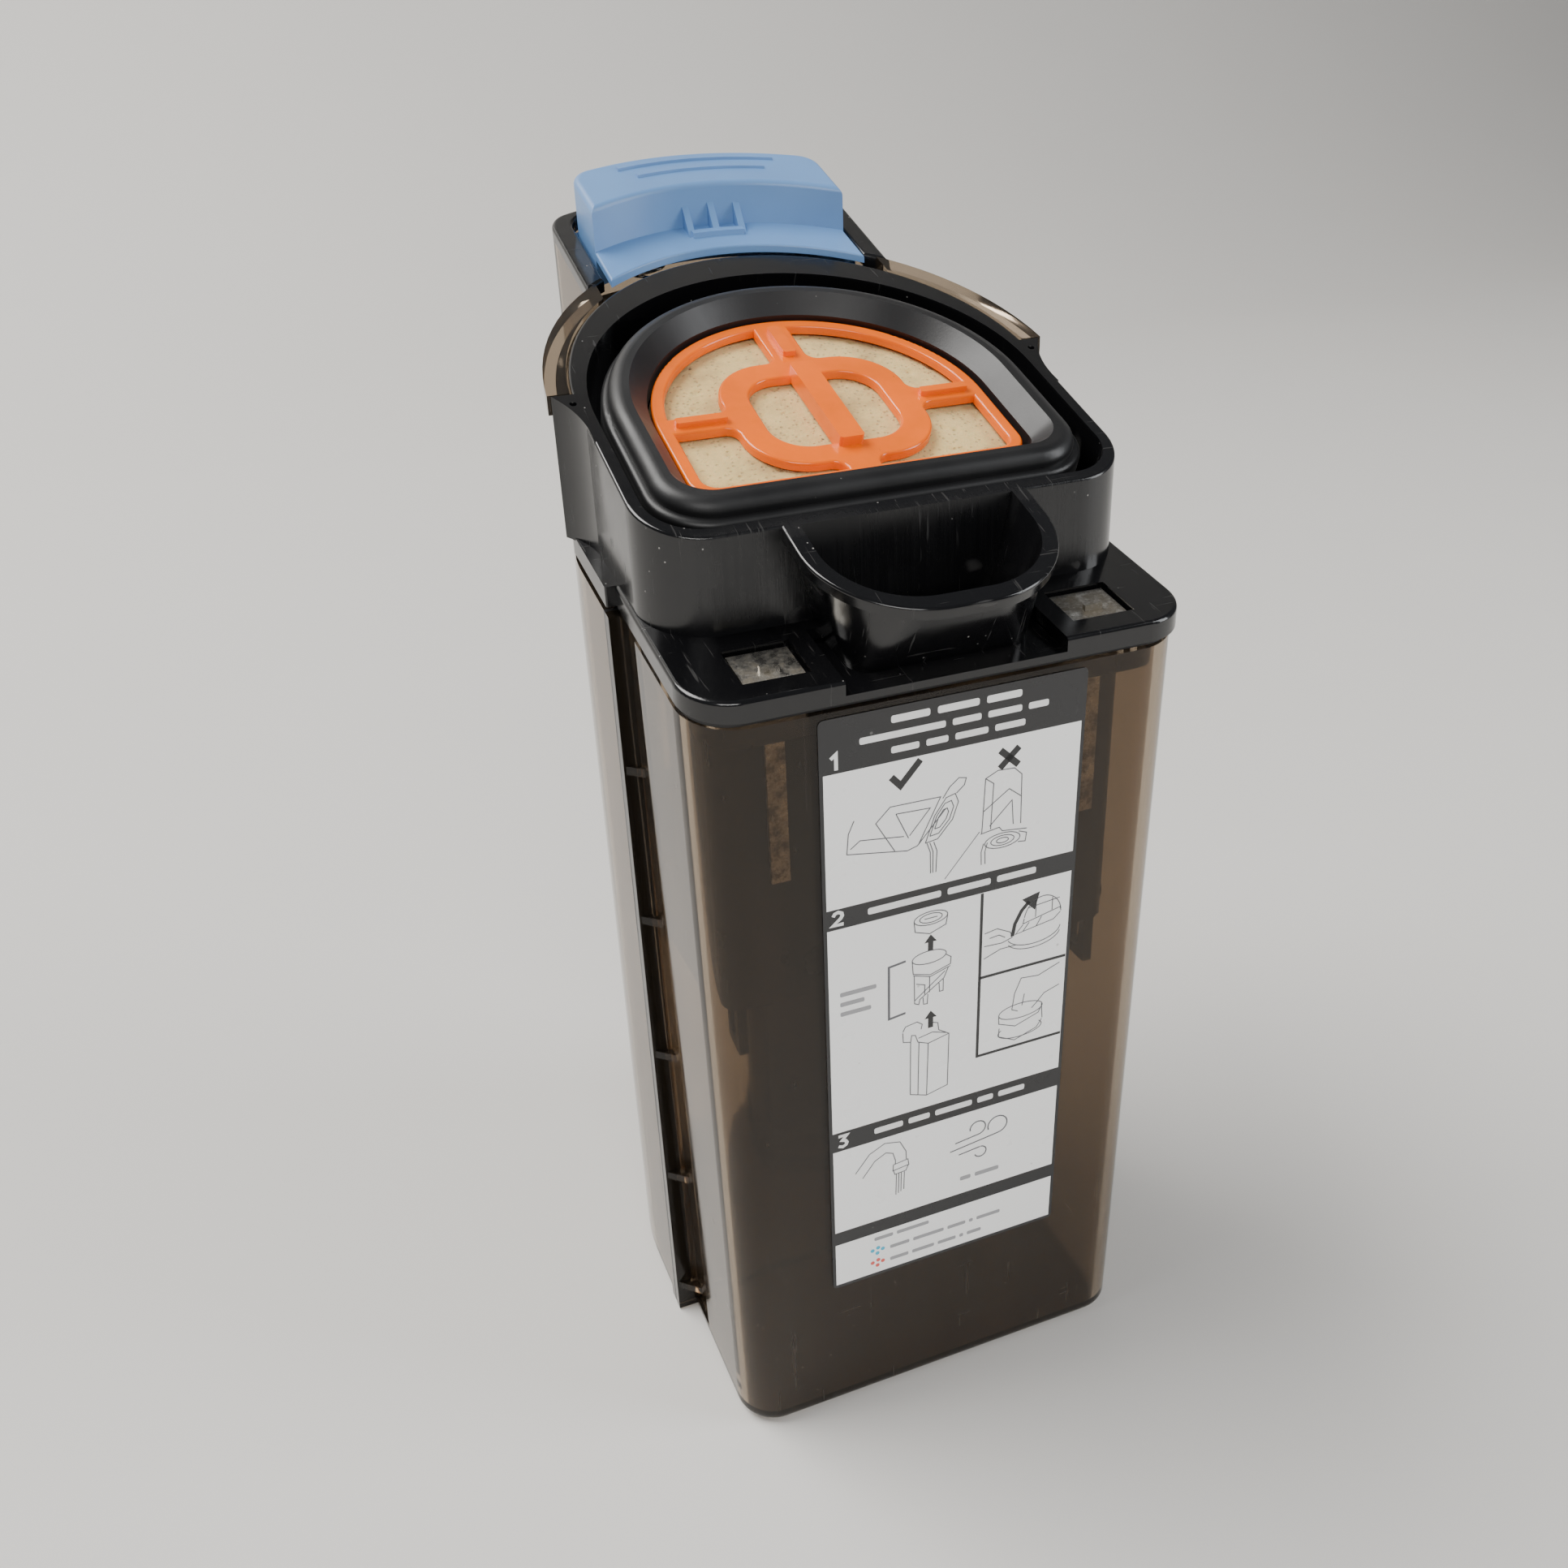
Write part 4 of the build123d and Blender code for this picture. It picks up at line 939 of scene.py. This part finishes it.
class TANK_OT_label(bpy.types.Operator):
    """Care label: black vinyl with white panels, step numbers and small drawings"""

    bl_idname = "tank.label"
    bl_label = "Label Print"

    def execute(self, context):
        setup = context.scene.tank_label
        dress(("instruction_label",), label_ink("label_black", BLACK_INK, WORN_BLACK, 0.6, 0.2))
        edge = (LABEL_HALF - setup.border) / MM
        prints = {name: Print(name, layer, setup.ink) for name, (layer, *_) in PRINTS.items()}
        for low, high in PANELS:
            prints["label_panels"].box(-edge, low, edge, high)
        draw_numerals(prints["label_light_print"])
        for row in WHITE_BARS:
            prints["label_light_print"].words(*row)
        fine_print = prints["label_fine_print"]
        draw_tilted_tank(fine_print, setup.fine)
        draw_upturned_tank(fine_print, setup.fine)
        draw_exploded_tank(fine_print, setup.fine, setup.bold)
        draw_side_pictures(fine_print, setup.fine)
        draw_drying(fine_print, setup.fine, setup.bold)
        draw_bold_marks(prints["label_bold_print"], setup.bold, edge)
        for row in GREY_BARS:
            prints["label_grey_print"].words(*row)
        for name, level in DOT_ROWS.items():
            for across, rise in DOT_CLUSTER:
                prints[name].dot(DOT_LEFT + across, level + rise, DOT_RADIUS)
        for name, (_, finish, ink, marks, gloss) in PRINTS.items():
            prints[name].finish(label_ink(finish, ink, SOIL, marks, gloss))
        return {"FINISHED"}


# --- studio ---
# backdrop: half width, near and far edge, height, radius of the sweep and depth below the tank
WIDE, NEAR, FAR, TALL, BEND, SUNK = 4.0, -2.5, 1.6, 2.6, 0.7, 0.0003
LIT_POINT = Vector((0.0, 0.0, 0.13))
ROOM_COLOUR = (0.90, 0.93, 1.0, 1.0)
FRONT_SHARE = 1.1


def soft_light(name, place, size, power, colour):
    """A rectangular soft light that faces the tank."""
    lamp = bpy.data.lights.new(name, "AREA")
    lamp.shape = "RECTANGLE"
    lamp.size, lamp.size_y = size
    lamp.energy = power
    lamp.color = colour
    aim = (LIT_POINT - Vector(place)).to_track_quat("-Z", "Y").to_matrix().to_4x4()
    holder = bpy.data.objects.new(name, lamp)
    holder.matrix_world = Matrix.Translation(place) @ aim
    bpy.context.scene.collection.objects.link(holder)


class TANK_OT_stage(bpy.types.Operator):
    """Pale floor and backdrop, soft lights and the camera"""

    bl_idname = "tank.stage"
    bl_label = "Studio"

    def execute(self, context):
        setup = context.scene.tank_studio
        self.backdrop(tuple(setup.floor))
        self.lights(setup)
        self.camera(context, setup)
        return {"FINISHED"}

    def backdrop(self, colour):
        """A floor that sweeps up into a wall behind."""
        profile = [(NEAR, 0.0), (FAR - BEND, 0.0)]
        for step in range(1, ARC_STEPS + 1):
            angle = math.radians(90 * step / ARC_STEPS)
            profile.append((FAR - BEND + BEND * math.sin(angle), BEND - BEND * math.cos(angle)))
        profile.append((FAR, TALL))
        sweep = bmesh.new()
        rows = [[sweep.verts.new((x, y, z - SUNK)) for x in (-WIDE, WIDE)] for y, z in profile]
        for low, high in zip(rows, rows[1:]):
            sweep.faces.new((low[0], low[1], high[1], high[0])).smooth = True
        data = bpy.data.meshes.new("backdrop")
        sweep.to_mesh(data)
        sweep.free()
        data.materials.append(pale_studio(colour))
        floor = bpy.data.objects.new("backdrop", data)
        bpy.context.scene.collection.objects.link(floor)

    def lights(self, setup):
        """A broad light above, a tall one at the side, one in front, and an even room."""
        soft_light("key", (-0.99, 0.63, 1.97), (1.6, 1.25), setup.key, (1.0, 0.985, 0.96))
        soft_light("side", (0.95, -0.55, 0.55), (0.45, 0.9), setup.side, (0.96, 0.98, 1.0))
        soft_light("front", (-0.35, -1.15, 0.75), (0.8, 0.5), FRONT_SHARE * setup.side, (1.0, 0.99, 0.97))
        world = bpy.data.worlds.new("room")
        world.use_nodes = True
        room = world.node_tree.nodes["Background"]
        room.inputs["Color"].default_value = ROOM_COLOUR
        room.inputs["Strength"].default_value = setup.sky
        bpy.context.scene.world = world

    def camera(self, context, setup):
        """Looks down at the front left of the tank."""
        forward = Vector((math.sin(setup.turn) * math.cos(setup.dip),
                          math.cos(setup.turn) * math.cos(setup.dip), -math.sin(setup.dip)))
        right = Vector((math.cos(setup.turn), -math.sin(setup.turn), 0.0))
        up = right.cross(forward)
        across = math.cos(setup.roll) * right + math.sin(setup.roll) * up
        above = math.cos(setup.roll) * up - math.sin(setup.roll) * right
        axes = Matrix((across, above, -forward)).transposed()
        eye = bpy.data.cameras.new("camera")
        eye.lens = setup.lens
        eye.sensor_width = 36.0
        eye.clip_start = 0.01
        holder = bpy.data.objects.new("camera", eye)
        holder.matrix_world = Matrix.Translation(Vector(setup.spot)) @ axes.to_4x4()
        context.scene.collection.objects.link(holder)
        context.scene.camera = holder


class TANK_PT_panel(bpy.types.Panel):
    """Buttons and sizes for the tank"""

    bl_idname = "TANK_PT_panel"
    bl_label = "Dirty Water Tank"
    bl_space_type = "VIEW_3D"
    bl_region_type = "UI"
    bl_category = "Tank"

    def draw(self, context):
        layout = self.layout
        for step in STEPS:
            layout.operator(step.bl_idname)
        for group, owner in GROUPS.items():
            box = layout.box()
            for name in owner.__annotations__:
                box.prop(getattr(context.scene, group), name)


GROUPS = {
    "tank_finish": TankFinish,
    "tank_foam": FoamShape,
    "tank_label": LabelPrint,
    "tank_studio": StudioSetup,
}
STEPS = (TANK_OT_shells, TANK_OT_seals, TANK_OT_lid, TANK_OT_contacts, TANK_OT_inside, TANK_OT_grille,
         TANK_OT_latch, TANK_OT_foam, TANK_OT_label, TANK_OT_stage)


def register():
    """Adds the property groups, operators and panel."""
    for owner in (*GROUPS.values(), *STEPS, TANK_PT_panel):
        bpy.utils.register_class(owner)
    for name, owner in GROUPS.items():
        setattr(bpy.types.Scene, name, bpy.props.PointerProperty(type=owner))


def unregister():
    """Takes them away again."""
    for name in GROUPS:
        delattr(bpy.types.Scene, name)
    for owner in reversed((*GROUPS.values(), *STEPS, TANK_PT_panel)):
        bpy.utils.unregister_class(owner)


def main():
    """Dresses the tank."""
    register()
    for step in STEPS:
        family, action = step.bl_idname.split(".")
        getattr(getattr(bpy.ops, family), action)()
    bpy.context.view_layer.update()


if __name__ == "__main__":
    main()
